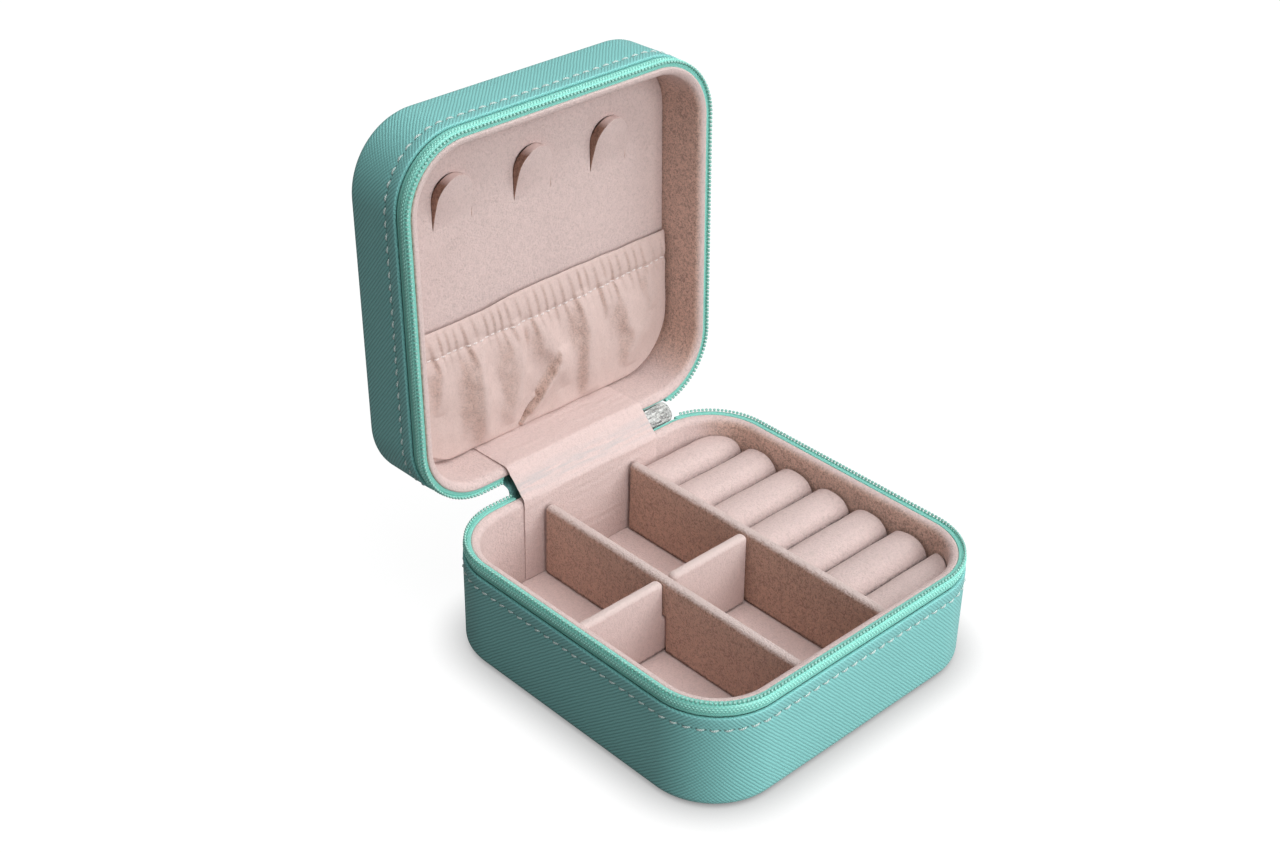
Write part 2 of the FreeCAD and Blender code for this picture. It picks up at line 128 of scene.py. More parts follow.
LEATHER = 1.0            # leather thickness, turned over at the edge
OUTER_R = 2.6            # rounding round the far side of each half
STITCH_DROP = 3.4        # stitch line, in from the leather's edge
STITCH_LENGTH = 1.95
SPINE_CLEAR = spine_high.x + 1.0
STITCHED_RUN = ALL_ROUND - 2 * SPINE_CLEAR
STITCH_COUNT = round(STITCHED_RUN / 3.3)   # about this far apart, in millimetres
STITCH_PITCH = STITCHED_RUN / STITCH_COUNT
HOLE_FROM_MIDDLE = STITCH_LENGTH / STITCH_PITCH / 2 + 0.02
END_GAP = 0.5            # crevice at a divider's ends


def outline_at(run, inset=0.0):
    """Place on the case's outline and its outward direction. The run starts at the middle of the
    hinge side and goes by the left side, the front and the right side."""
    run = (run + STRAIGHT) % ALL_ROUND
    turn = int(run // QUARTER)
    along = run - turn * QUARTER
    if along <= SIDE_RUN:
        normal = Vector((0, 1))
        place = Vector((STRAIGHT - along, HALF))
    else:
        angle = (along - SIDE_RUN) / CORNER_R
        normal = Vector((-math.sin(angle), math.cos(angle)))
        place = Vector((-STRAIGHT, STRAIGHT)) + normal * CORNER_R
    place -= normal * inset
    for _ in range(turn):
        place = Vector((-place.y, place.x))
        normal = Vector((-normal.y, normal.x))
    return place, normal

def at_height(run, inset, height):
    return Vector((*outline_at(run, inset)[0], height))


# ---- mesh helpers ---------------------------------------------------------------------------
FLAT_GRAIN = 0.2         # keeps the grain of flat faces clear of the stitch holes


def middle_of(low, high, axis):
    return (low[axis] + high[axis]) / 2


def scene_object(name, data):
    made = bpy.data.objects.new(name, data)
    bpy.context.scene.collection.objects.link(made)
    return made


class Shape:
    """Points in millimetres, faces, and the grain coordinates of every face corner."""

    def __init__(self):
        self.points = []
        self.faces = []
        self.grain = []

    def add(self, point):
        self.points.append(Vector(point))
        return len(self.points) - 1

    def face(self, corners, grain=None):
        self.faces.append(list(corners))
        self.grain.append(list(grain) if grain else [(0.0, 0.0)] * len(corners))

    def grid(self, rows, uv, wrap_rows=False, wrap_columns=False):
        """Quads between rows of point numbers; uv(i, j) gives the grain place of row i, column j."""
        count, width = len(rows), len(rows[0])
        for i in range(count if wrap_rows else count - 1):
            for j in range(width if wrap_columns else width - 1):
                corners = [(i, j), (i + 1, j), (i + 1, j + 1), (i, j + 1)]
                self.face([rows[a % count][b % width] for a, b in corners], [uv(a, b) for a, b in corners])

    def skin(self, rows, uv):
        """A closed skin: quads round rows that are loops, and a face over each end."""
        self.grid(rows, uv, wrap_columns=True)
        self.face(rows[0])
        self.face(list(reversed(rows[-1])))

    def fill(self, loops):
        """Close flat loops of point numbers, where the second and later loops are holes."""
        work = bmesh.new()
        edges = []
        number = {}
        for loop in loops:
            made = []
            for index in loop:
                vertex = work.verts.new(self.points[index])
                number[vertex] = index
                made.append(vertex)
            edges += [work.edges.new((made[k - 1], made[k])) for k in range(len(made))]
        filled = bmesh.ops.triangle_fill(work, edges=edges, use_beauty=True, use_dissolve=False)
        for item in filled["geom"]:
            if isinstance(item, bmesh.types.BMFace):
                corners = [number[vertex] for vertex in item.verts]
                self.face(corners, [(self.points[c].x * MM, self.points[c].y * MM + FLAT_GRAIN)
                                    for c in corners])
        work.free()

    def piece(self, name, body, slot, finish, place=as_drawn, stands_for=(), smooth=40.0, ride=True):
        """Make the mesh object, put it in place, and give it its body and material; the slot is not used."""
        mesh = bpy.data.meshes.new(name)
        mesh.from_pydata([place(point) * MM for point in self.points], [], self.faces)
        layer = mesh.uv_layers.new(name="grain")
        flat = [value for face in self.grain for corner in face for value in corner]
        layer.data.foreach_set("uv", flat)
        mesh.validate()
        work = bmesh.new()
        work.from_mesh(mesh)
        bmesh.ops.recalc_face_normals(work, faces=work.faces)
        for edge in work.edges:
            edge.smooth = len(edge.link_faces) < 2 or edge.calc_face_angle(0.0) < math.radians(smooth)
        work.to_mesh(mesh)
        work.free()
        mesh.shade_smooth()
        mesh.materials.append(finish)
        piece = scene_object(name, mesh)
        if ride:
            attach(piece, body)
        if stands_for:
            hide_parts(*stands_for)
        return piece


def softened(points, closed=True, steps=5):
    """Replace each (x, y, radius) corner by an arc; a radius of 0 stays a corner."""
    result = []
    count = len(points)
    for k, (x, y, radius) in enumerate(points):
        here = Vector((x, y))
        if radius <= 0 or (not closed and k in (0, count - 1)):
            result.append(here)
            continue
        before = (Vector(points[k - 1][:2]) - here).normalized()
        after = (Vector(points[(k + 1) % count][:2]) - here).normalized()
        half = math.acos(max(-1, min(1, before.dot(after)))) / 2
        reach = radius / math.tan(half)
        centre = here + (before + after).normalized() * (radius / math.sin(half))
        first, last = here + before * reach - centre, here + after * reach - centre
        sweep = first.angle_signed(last)
        for step in range(steps + 1):
            result.append(centre + Matrix.Rotation(-sweep * step / steps, 2) @ first)
    return result

def tapered(start, end, middle, steps=5):
    """Outline symmetrical about a middle line. start and end are each (place, half width, radius)."""
    (a, half_a, radius_a), (b, half_b, radius_b) = start, end
    return softened([(a, middle - half_a, radius_a), (b, middle - half_b, radius_b),
                     (b, middle + half_b, radius_b), (a, middle + half_a, radius_a)], steps=steps)



def ring(shape, profile, start=0.0, stop=ALL_ROUND, step=1.0, close=True, zero=0):
    """Carry an (inset, height) profile round the case, whole or between two places on the run. The
    grain's across coordinate is 0 at profile point `zero`."""
    whole = stop - start > ALL_ROUND - 1e-6
    count = round((stop - start) / step)
    lengths = [0.0]
    for k in range(len(profile)):
        lengths.append(lengths[-1] + (profile[(k + 1) % len(profile)] - profile[k]).length)
    rows = []
    for i in range(count if whole else count + 1):
        place, normal = outline_at(start + (stop - start) * i / count)
        row = []
        for inset, height in profile:
            row.append(shape.add((place.x - normal.x * inset, place.y - normal.y * inset, height)))
        rows.append(row)

    def uv(i, j):
        return ((start + (stop - start) * i / count) * MM, (lengths[j] - lengths[zero]) * MM)

    shape.grid(rows, uv, wrap_rows=whole, wrap_columns=close)
    if close and not whole:
        shape.face(rows[0])
        shape.face(list(reversed(rows[-1])))
    return rows


def offset(loop, distance):
    """A closed loop moved inwards, into the material, by a distance or one distance per point."""
    result = []
    count = len(loop)
    for k in range(count):
        here = loop[k]
        before = (here - loop[k - 1]).normalized()
        after = (loop[(k + 1) % count] - here).normalized()
        left = Vector((-before.y, before.x)) + Vector((-after.y, after.x))
        left = left / max(0.4, left.length_squared / 2)
        amount = distance[k] if isinstance(distance, list) else distance
        result.append(here + left * amount)
    return result


def plate(shape, outer, thick, edge_round, place, holes=(), steps=3):
    """A plate with rounded edges. The outer loop goes anticlockwise and the holes clockwise, in the
    plate's own two directions; place(a, b, depth) says where its points are. edge_round is a radius,
    or gives the radius at a point of a loop."""
    front, back = [], []
    for loop in (outer, *holes):
        radius = [edge_round(point) if callable(edge_round) else edge_round for point in loop]
        rows = []
        for side in (0, 1):
            for k in range(steps + 1):
                angle = math.pi / 2 * (k if side == 0 else steps - k) / steps
                inwards = offset(loop, [r * (1 - math.sin(angle)) for r in radius])
                row = []
                for point, r in zip(inwards, radius):
                    drop = r * (1 - math.cos(angle))
                    row.append(shape.add(place(point.x, point.y, drop if side == 0 else thick - drop)))
                rows.append(row)

        def uv(i, j):
            point = loop[j % len(loop)]
            return (point.x * MM, point.y * MM)

        shape.grid(rows, uv, wrap_columns=True)
        front.append(rows[0])
        back.append(rows[-1])
    shape.fill(front)
    shape.fill(back)


def tube(shape, path, radius, sides=6, squeeze=1.0):
    """A closed round tube along points; radius may be one number or one per point."""
    rows = []
    side = Vector((0, 0, 1))
    run = [0.0]
    for k in range(1, len(path)):
        run.append(run[-1] + (path[k] - path[k - 1]).length)
    for k, point in enumerate(path):
        along = (path[min(k + 1, len(path) - 1)] - path[max(k - 1, 0)]).normalized()
        side = (side - along * side.dot(along)).normalized()
        other = along.cross(side)
        size = radius[k] if isinstance(radius, list) else radius
        row = []
        for j in range(sides):
            angle = 2 * math.pi * j / sides
            row.append(shape.add(point + side * size * math.cos(angle)
                                 + other * size * squeeze * math.sin(angle)))
        rows.append(row)
    shape.skin(rows, lambda i, j: (run[i] * MM, j / sides * MM))


# ---- the line of the inner hinge strip ------------------------------------------------------
def smooth_line(points, step=0.5):
    """Points about `step` apart along straight runs and the arcs at their corners."""
    corners = softened(points, closed=False, steps=8)
    line = [corners[0]]
    for a, b in zip(corners, corners[1:]):
        pieces = max(1, round((b - a).length / step))
        line += [a.lerp(b, k / pieces) for k in range(1, pieces + 1)]
    return line


def on_lid(y, z):
    """(y, z) of a lid point drawn shut, where it is with the lid open."""
    point = opened((0, y, z))
    return point.y, point.z


strip_y = (strip_low.y + INNER + 0.05) / 2
lid_turn = on_lid(strip_y, LID_LIP + 0.3)
lid_end = on_lid(strip_y, PANEL_FRONT - 0.2)
strip_line = smooth_line([
    (strip_y, strip_low.z, 0), (strip_y, LINING_TOP + 0.15, 1.6),
    (lid_turn[0] - 0.2, lid_turn[1] + 0.1, 1.6), (*lid_end, 0)])
STRIP_FOLD = LINING_TOP - strip_low.z + 4.0   # middle of its fold, along the strip


# ---- materials ------------------------------------------------------------------------------
class Value:
    """A number or vector inside a material; sums with it add math nodes."""

    def __init__(self, made, socket):
        self.made, self.socket = made, socket

    def __add__(self, other):
        return self.made.math("ADD", self, other)

    def __sub__(self, other):
        return self.made.math("SUBTRACT", self, other)

    def __rsub__(self, other):
        return self.made.math("SUBTRACT", other, self)

    def __mul__(self, other):
        return self.made.math("MULTIPLY", self, other)

    def __truediv__(self, other):
        return self.made.math("DIVIDE", self, other)

    def __abs__(self):
        return self.made.math("ABSOLUTE", self)


class Finish:
    """A material in the making: each method adds one node and gives its output as a Value."""

    def __init__(self, name, **sockets):
        self.material = bpy.data.materials.new(name)
        self.material.use_nodes = True
        self.nodes = self.material.node_tree.nodes
        self.links = self.material.node_tree.links
        self.shader = next(node for node in self.nodes if node.type == "BSDF_PRINCIPLED").inputs
        for socket, value in sockets.items():
            self.shader[socket.replace("_", " ").title().replace("Ior", "IOR")].default_value = value

    def put(self, socket, value):
        if isinstance(value, Value):
            self.links.new(value.socket, socket)
        else:
            socket.default_value = value

    def node(self, kind, output=0, **inputs):
        """Add a node, give the inputs named, and give one of its outputs."""
        made = self.nodes.new("ShaderNode" + kind)
        for socket, value in inputs.items():
            self.put(made.inputs[socket], value)
        return Value(self, made.outputs[output])

    def math(self, operation, a, b=0.0):
        node = self.nodes.new("ShaderNodeMath")
        node.operation = operation
        self.put(node.inputs[0], a)
        self.put(node.inputs[1], b)
        return Value(self, node.outputs[0])

    def wave(self, value, length):
        return self.math("SINE", value * (2 * math.pi / length))

    def split(self, vector):
        """A vector's X, Y and Z."""
        node = self.nodes.new("ShaderNodeSeparateXYZ")
        self.put(node.inputs[0], vector)
        return [Value(self, output) for output in node.outputs]

    def grain(self):
        """The grain coordinates as a vector, and singly: metres along and across the piece."""
        node = self.nodes.new("ShaderNodeUVMap")
        node.uv_map = "grain"
        uv = Value(self, node.outputs[0])
        return (uv, *self.split(uv)[:2])

    def place(self):
        return self.node("TexCoord", "Object")

    def facing(self, axis, sign, low=0.45, high=0.95):
        """0 to 1: how far the surface, with the lid open, faces along an axis (0, 1 or 2)."""
        return self.ramp(self.split(self.node("TexCoord", "Normal"))[axis] * sign, (low, 0.0), (high, 1.0))

    def noise(self, vector, size, detail=3.0, roughness=0.55, distortion=0.0):
        """Cloudy noise whose patches are about `size` metres across."""
        return self.node("TexNoise", "Fac", Vector=vector, Scale=1 / size, Detail=detail,
                         Roughness=roughness, Distortion=distortion)

    def streaks(self, vector, scale, size, detail, roughness=0.55):
        """Noise drawn out by a scale for each axis."""
        return self.noise(self.node("Mapping", Vector=vector, Scale=scale), size, detail, roughness)

    def ramp(self, factor, *stops):
        """Colour or grey by stops of (position, colour)."""
        node = self.nodes.new("ShaderNodeValToRGB")
        self.put(node.inputs[0], factor)
        elements = node.color_ramp.elements
        while len(elements) < len(stops):
            elements.new(0.5)
        for element, (position, colour) in zip(elements, stops):
            element.position = position
            element.color = (*colour, 1.0) if isinstance(colour, tuple) else (colour, colour, colour, 1.0)
        return Value(self, node.outputs[0])

    def mix(self, factor, a, b):
        node = self.nodes.new("ShaderNodeMix")
        node.data_type = "RGBA"
        for socket, value in zip((node.inputs[0], node.inputs[6], node.inputs[7]), (factor, a, b)):
            self.put(socket, (*value, 1.0) if isinstance(value, tuple) else value)
        return Value(self, node.outputs[2])

    def finish(self, colour, height, depth, strength, roughness=None):
        """Join the colour, bump and roughness to the shader and give the material."""
        self.put(self.shader["Base Color"], colour)
        bump = self.node("Bump", Strength=strength, Distance=depth, Height=height)
        self.put(self.shader["Normal"], bump)
        if roughness is not None:
            self.put(self.shader["Roughness"], roughness)
        return self.material


def shade(colour, amount):
    return tuple(min(1.0, channel * amount) for channel in colour)


HATCH = (math.radians(46), math.radians(-40))
HATCH_PITCH = 0.00078
HOLE_SIZE = 0.0005


def crosshatch_leather(name, colour, stitches=None):
    """Imitation leather embossed with two crossing families of fine lines. One family stands out on
    the left side and the other on the rest, as they catch the light; the grooves are also painted
    darker, a painted shade that is deeper on the left side. stitches gives where a line of stitches
    starts along the grain and its pitch; the needle holes lie at across = 0 and are painted dark, a
    painted shade in the holes."""
    made = Finish(name, roughness=0.5, specular_ior_level=0.45, sheen_weight=0.12, sheen_roughness=0.5)
    uv, along, across = made.grain()
    leftward = made.facing(0, -1)
    wobble = made.noise(uv, 0.003, 2.0) * 0.5
    families = []
    for angle, gain, least in zip(HATCH, (-0.8, 0.8), (1.0, 0.2)):
        slanted = across * (math.cos(angle) / HATCH_PITCH) - along * (math.sin(angle) / HATCH_PITCH)
        lines = made.ramp(made.math("PINGPONG", slanted + wobble, 0.5), (0.05, 0.0), (0.36, 1.0))
        families.append(lines * (leftward * gain + least))
    height = families[0] + families[1]
    groove_shade = made.ramp(height, (0.2, 1.0), (1.1, 0.0))
    height = height + made.noise(uv, 0.0005, 3.0) * 0.25
    tone = made.mix(made.noise(uv, 0.03, 2.0), shade(colour, 0.95), shade(colour, 1.06))
    # Painted shade in the grooves, deeper where the surface faces the left side.
    tone = made.mix(groove_shade * (leftward * 0.55 + 0.22), tone, shade(colour, 0.55))
    if stitches:
        start, pitch = stitches
        step = made.math("FRACT", (along - start) / pitch)
        aside = (abs(step - 0.5) - HOLE_FROM_MIDDLE) * pitch
        away = made.math("SQRT", aside * aside + across * across)
        # The needle holes are sunk in the bump and painted dark, a painted shade in them.
        hole = made.ramp(away / HOLE_SIZE, (0.3, 0.8), (0.9, 0.0))
        tone = made.mix(hole, tone, shade(colour, 0.40))
        height = height - hole * 2.0
    return made.finish(tone, height, 0.00009, 0.9, made.ramp(height, (0.1, 0.6), (0.9, 0.47)))


def velvet(name, colour, by_grain=False, fuzz=1.0, top_highlight=None, fold_sheen=None, crevice_shade=None, left_side_shade=None,
           painted_top_light=False):
    """Short-pile microsuede: fine speckle, soft clouding and a pale sheen. top_highlight gives a height
    above which the pile is painted pale, a painted highlight where the tops catch the light; fold_sheen
    gives a line across the grain where the strip is bent, with a grey painted sheen along the fold;
    crevice_shade gives the height and the end, along Y, near which it is painted dark, a painted shade
    in the crevices against its neighbours; left_side_shade is a darker, rougher colour painted where it
    faces the left side, a painted shade, with the range of that turn; painted_top_light paints it
    lighter where it faces up, a painted light."""
    made = Finish(name, roughness=0.95, specular_ior_level=0.15, sheen_weight=0.25, sheen_roughness=0.45)
    made.shader["Sheen Tint"].default_value = (1.0, 0.88, 0.84, 1.0)
    where = made.grain()[0] if by_grain else made.place()
    clumps = made.noise(where, 0.0010, 3.0, 0.65, 0.8)
    pile = made.noise(where, 0.00045, 2.0, 0.6) * 0.5 + clumps * 0.5
    spread = 0.22 * fuzz
    reach = 0.13 if fuzz < 1 else 0.09
    tone = made.ramp(pile, (0.5 - reach, shade(colour, 1 - spread)), (0.5, colour),
                     (0.5 + reach, shade(colour, 1 + 0.55 * spread)))
    clouds = made.ramp(made.noise(where, 0.011, 3.0, 0.5), (0.35, 0.0), (0.7, 0.12))
    tone = made.mix(clouds, tone, shade(colour, 0.86))
    # Painted shade: a darker colour where the surface faces the left side, away from the lights.
    if left_side_shade:
        dark, low, high = left_side_shade
        left_shade_tone = made.ramp(pile, (0.41, shade(dark, 0.66)), (0.5, dark), (0.59, shade(dark, 1.2)))
        tone = made.mix(made.facing(0, -1, low, high), tone, left_shade_tone)
    # Painted light: lighter where the surface faces up.
    if painted_top_light:
        tone = made.mix(made.facing(2, 1, 0.74, 0.98), tone, shade(colour, 1.5))
    if crevice_shade or top_highlight:
        _, y, z = made.split(made.place())
    # Painted shade: darker near the foot and the ends, in the crevices against its neighbours.
    if crevice_shade:
        foot, end = crevice_shade
        nearest = made.math("MINIMUM", z - foot, end - abs(y)) + clumps * 0.0012
        tone = made.mix(made.ramp(nearest / 0.0020, (0.5, 0.9), (0.9, 0.0)), tone, shade(colour, 0.16))
    # Painted highlight: paler above a height, where the tops catch the light.
    if top_highlight:
        height, band, pale = top_highlight
        above = (z - height) / band + (pile * 3.0 - 1.5)
        tone = made.mix(made.ramp(above, (0.0, 0.0), (1.0, 1.0)), tone, pale)
    # Painted sheen: a pale grey streaked band along the fold.
    if fold_sheen:
        line, band, pale = fold_sheen
        across = made.grain()[2]
        near = made.ramp(abs(across - line) / band, (0.0, 1.0), (1.0, 0.0))
        streaks = made.ramp(made.streaks(where, (0.09, 1.0, 1.0), 0.0011, 3.0, 0.6), (0.38, 0.0), (0.62, 0.6))
        tone = made.mix(near * streaks, tone, pale)
    return made.finish(tone, pile, 0.0007 * fuzz, 0.8)


def woven_tape(name, colour):
    """Close herringbone weave along the band."""
    made = Finish(name, roughness=0.75, specular_ior_level=0.25, sheen_weight=0.15)
    uv, along, across = made.grain()
    rib = made.wave(across, 0.0006)
    twill = made.wave(abs(rib) * 0.0004 + along, 0.00055)
    height = rib * twill * 0.5 + 0.5 + made.noise(uv, 0.0003) * 0.3
    tone = made.ramp(height, (0.2, shade(colour, 0.74)), (0.8, shade(colour, 1.08)))
    return made.finish(tone, height, 0.00015, 0.7)


def nylon(name, colour):
    """Glossy monofilament and the close stitching that ties it down."""
    made = Finish(name, roughness=0.3, specular_ior_level=0.5, coat_weight=0.15)
    _, along, across = made.grain()
    height = made.wave(along, 0.00092) * made.wave(across, 0.0011) * 0.5 + 0.5
    tone = made.ramp(height, (0.1, shade(colour, 0.8)), (0.9, shade(colour, 1.1)))
    fine = made.noise(made.place(), 0.0003, 2.0)
    return made.finish(tone, height, 0.00003, 0.7, made.ramp(fine, (0.3, 0.26), (0.7, 0.42)))


def twisted_thread(name, colour):
    """Plied sewing thread."""
    made = Finish(name, roughness=0.6, specular_ior_level=0.3, sheen_weight=0.2)
    _, along, across = made.grain()
    height = made.wave(along + across, 0.0005) * 0.5 + 0.5
    return made.finish(made.ramp(height, (0.0, shade(colour, 0.72)), (0.7, colour)), height, 0.00012, 0.8)


def cast_metal(name, colour):
    """Nickel-plated die casting, lightly pitted and scratched, with a painted shade darkening its rim where
    it turns from the camera.
    """
    made = Finish(name, metallic=1.0, roughness=0.35)
    where = made.place()
    pits = made.noise(where, 0.0007, 4.0, 0.65)
    height = made.streaks(where, (300.0, 2400.0, 2400.0), 1.0, 4.0, 0.7) * 0.9 + pits * 0.6
    tone = made.ramp(height, (0.58, shade(colour, 0.24)), (0.72, shade(colour, 0.85)),
                     (0.88, shade(colour, 1.5)))
    # Painted shade: darker along the outline, where the surface turns away from the camera.
    rim = made.ramp(made.node("LayerWeight", "Facing", Blend=0.5), (0.48, 0.0), (0.66, 0.95))
    tone = made.mix(rim, tone, shade(colour, 0.16))
    return made.finish(tone, height, 0.0005, 0.9, made.ramp(pits, (0.3, 0.6), (0.7, 0.42)))


def streaked(name, colour, roughness, scale, detail, dark, pale):
    """Plain stuff inside the case, streaked by stretched noise: fibre board, foam or ribbed elastic."""
    made = Finish(name, roughness=roughness, specular_ior_level=0.2)
    streaks = made.streaks(made.place(), scale, 1.0, detail)
    tone = made.ramp(streaks, (0.3, shade(colour, dark)), (0.7, shade(colour, pale)))
    return made.finish(tone, streaks, 0.0002, 0.6)


SHELL = (0.245, 0.63, 0.605)
MINT = (0.28, 0.77, 0.665)
BLUSH = (0.615, 0.492, 0.470)
# A darker, browner copy of the lining colour for the long dividers: painted shade on their faces that turn
# from the light.
SHADED_PILE = (0.575, 0.38, 0.30)
# Pale colour painted on the divider tops: a painted highlight.
PALE_TOP_PAINT = (0.69, 0.57, 0.54)

stitch_places = (SPINE_CLEAR * MM, STITCH_PITCH * MM)
base_hide = crosshatch_leather("base leather", SHELL, stitch_places)
lid_hide = crosshatch_leather("lid leather", SHELL, stitch_places)
# The spine leather is a darker copy of the shell leather: painted shade on the spine.
spine_leather = crosshatch_leather("spine leather", shade(SHELL, 0.85))
tape_weave = woven_tape("zip tape weave", MINT)
coil_nylon = nylon("zip coil nylon", shade(MINT, 1.02))
chain_nylon = nylon("zip chain stitches", (0.44, 0.90, 0.79))
head_nylon = nylon("zip coil heads", (0.29, 0.62, 0.54))
thread_ply = twisted_thread("sewing thread", (0.66, 0.80, 0.77))
pocket_thread = twisted_thread("pocket thread", (0.95, 0.86, 0.84))
lining = velvet("lining velvet", shade(BLUSH, 1.12), fuzz=0.65, left_side_shade=((0.63, 0.44, 0.365), 0.45, 0.95))
# The hook flaps get a dark painted shade where they face the left side and a painted light where they face
# up.
hook_velvet = velvet("hook velvet", shade(BLUSH, 1.12), fuzz=0.55, left_side_shade=((0.34, 0.20, 0.15), 0.2, 0.5),
                     painted_top_light=True)
# A lighter copy of the lining velvet for the compartment floors: painted light.
lit_floor_velvet = velvet("floor velvet", shade(BLUSH, 1.33), fuzz=0.5)
# Above this height the divider tops are painted pale: a painted highlight.
painted_divider_tops = ((ring_high.z - 1.15) * MM, 0.0010, PALE_TOP_PAINT)
NO_END = 1.0             # in metres, past every piece
ROLL_CREVICE_SHADE = 20.6     # the rolls touch and are painted dark below about this height, a painted shade in the crevices between them
shaded_divider_pile = velvet("divider velvet", SHADED_PILE, fuzz=1.45, top_highlight=painted_divider_tops,
                      crevice_shade=(FLOOR_TOP * MM, (INNER - END_GAP) * MM))
cross_pile = velvet("cross divider velvet", shade(BLUSH, 1.14), fuzz=0.55, top_highlight=painted_divider_tops,
                    crevice_shade=(FLOOR_TOP * MM, NO_END))
roll_pile = velvet("roll velvet", shade(BLUSH, 1.07), fuzz=0.65, crevice_shade=(ROLL_CREVICE_SHADE * MM, NO_END))
pocket_suede = velvet("pocket suede", (0.65, 0.51, 0.475), fuzz=0.35, left_side_shade=((0.53, 0.365, 0.305), 0.08, 0.95))
strip_velvet = velvet("hinge velvet", shade(BLUSH, 1.16), by_grain=True, fuzz=0.5,
                      fold_sheen=(STRIP_FOLD * MM, 0.0040, (0.47, 0.48, 0.49)))
zip_metal = cast_metal("cast nickel", (0.60, 0.61, 0.60))
board = streaked("core board", (0.35, 0.33, 0.30), 0.9, (900.0, 350.0, 900.0), 4.0, 0.8, 1.1)
foam = streaked("padding", (0.72, 0.55, 0.48), 0.9, (900.0, 350.0, 900.0), 4.0, 0.8, 1.1)
elastic = streaked("elastic", (0.8, 0.72, 0.68), 0.8, (2500.0, 300.0, 300.0), 2.0, 0.85, 1.0)


# ---- leather shells and their stitching -----------------------------------------------------
FLAT_INSET = 9.0         # the far side's flat face starts here
TURNED_IN = 0.5          # insets over this are on the turned-in side of the leather


def leather_shell(name, body, edge, far, place, node, hide):
    """One half's leather: a rolled edge, a stitch line sunk into it, and the flat far side."""
    away = 1 if far > edge else -1
    depth = abs(far - edge)
    profile = softened([
        (LEATHER, 0.0, 0.35), (0.0, 0.0, 0.42), (-0.05, 1.3, 0), (0.0, STITCH_DROP - 0.9, 0),
        (0.16, STITCH_DROP, 0.5), (0.0, STITCH_DROP + 0.9, 0), (-0.04, STITCH_DROP + 2.4, 0),
        (0.0, depth * 0.6, 0), (0.0, depth, OUTER_R), (FLAT_INSET, depth, 0),
        (FLAT_INSET, depth - LEATHER, 0), (LEATHER, depth - LEATHER, OUTER_R - LEATHER)], steps=7)
    numbers = range(len(profile))
    stitched = min(numbers, key=lambda k: abs(profile[k].y - STITCH_DROP) + (profile[k].x > TURNED_IN))
    profile = [Vector((p.x, edge + away * p.y)) for p in profile]
    shape = Shape()
    rows = ring(shape, profile, zero=stitched)
    outside = min(numbers, key=lambda k: abs(profile[k].x - FLAT_INSET) + abs(profile[k].y - far))
    inner_rim = [face for face in range(len(shape.faces)) if all(
        index % len(profile) in (outside, outside + 1) for index in shape.faces[face])]
    for face in reversed(inner_rim):
        del shape.faces[face], shape.grain[face]
    for level in (outside, outside + 1):
        shape.fill([[row[level] for row in rows]])
    return shape.piece(name, body, "shell_leather", hide, place, (node,))


def stitch_line(name, body, height, place, node, tilt):
    """Separate slanted stitches that dip into the leather at both ends."""
    shape = Shape()
    chance = random.Random(7)
    for k in range(STITCH_COUNT):
        middle = SPINE_CLEAR + (k + 0.5) * STITCH_PITCH
        lean = tilt * (0.20 + chance.uniform(-0.06, 0.06))
        path = []
        for step in range(9):
            t = step / 8 - 0.5
            sunk = 0.26 - 0.34 * max(0.0, math.cos(math.pi * t)) ** 0.5
            path.append(at_height(middle + t * STITCH_LENGTH, sunk, height + lean * t * 2))
        tube(shape, path, [0.10, 0.17, 0.22, 0.25, 0.26, 0.25, 0.22, 0.17, 0.10])
    return shape.piece(name, body, "thread", thread_ply, place, (node,))


leather_shell("base_leather", "base", BASE_EDGE, base_low.z, as_drawn, "base_leather_shell", base_hide)
leather_shell("lid_leather", "lid", LID_EDGE, LID_TOP, opened, "lid_leather_shell", lid_hide)
stitch_line("base_stitches", "base", BASE_EDGE - STITCH_DROP, as_drawn, "base_stitching", 1)
stitch_line("lid_stitches", "lid", LID_EDGE + STITCH_DROP, opened, "lid_stitching", -1)


# ---- zip ------------------------------------------------------------------------------------
COIL_PITCH = 1.12
CHAIN_PITCH = 0.92       # the sewing over the coil
COIL_INSET = 0.62
COIL_TALL, COIL_DEEP = 1.12, 0.46   # half sizes of the coil's sewn-down band
TAPE_STEP = 0.8


def zip_tape(name, body, foot, free_edge, place, node):
    """The tape's woven band between the leather edge and the coil, doubled over along its free edge.
    It carries on as a flat band behind the slider."""
    toward = 1 if free_edge > foot else -1
    from_foot = ((1.70, 0, 0), (1.60, 1.25, 0.1), (0.62, 1.32, 0.25), (0.50, 1.85, 0.3),
                 (0.62, 2.35, 0.2), (1.10, 2.75, 0))
    from_free_edge = ((0.82, 0.38, 0.1), (1.15, 0.03, 0.1), (1.62, 0, 0.2), (2.10, 0, 0.22))
    profile = softened([(inset, foot + toward * up, radius) for inset, up, radius in from_foot]
                       + [(inset, free_edge - toward * down, radius)
                          for inset, down, radius in from_free_edge]
                       + [(2.1, foot + toward * 2.4, 0), (1.95, foot, 0)], steps=4)
    flat = [Vector(corner) for corner in ((1.62, foot), (1.62, free_edge), (2.10, free_edge), (2.10, foot))]
    shape = Shape()
    ring(shape, profile, ZIP_START, ZIP_STOP, TAPE_STEP)
    ring(shape, flat, ZIP_STOP - 0.3, ALL_ROUND - ZIP_START, TAPE_STEP)
    return shape.piece(name, body, "zip_tape", tape_weave, place, (node,), smooth=60)


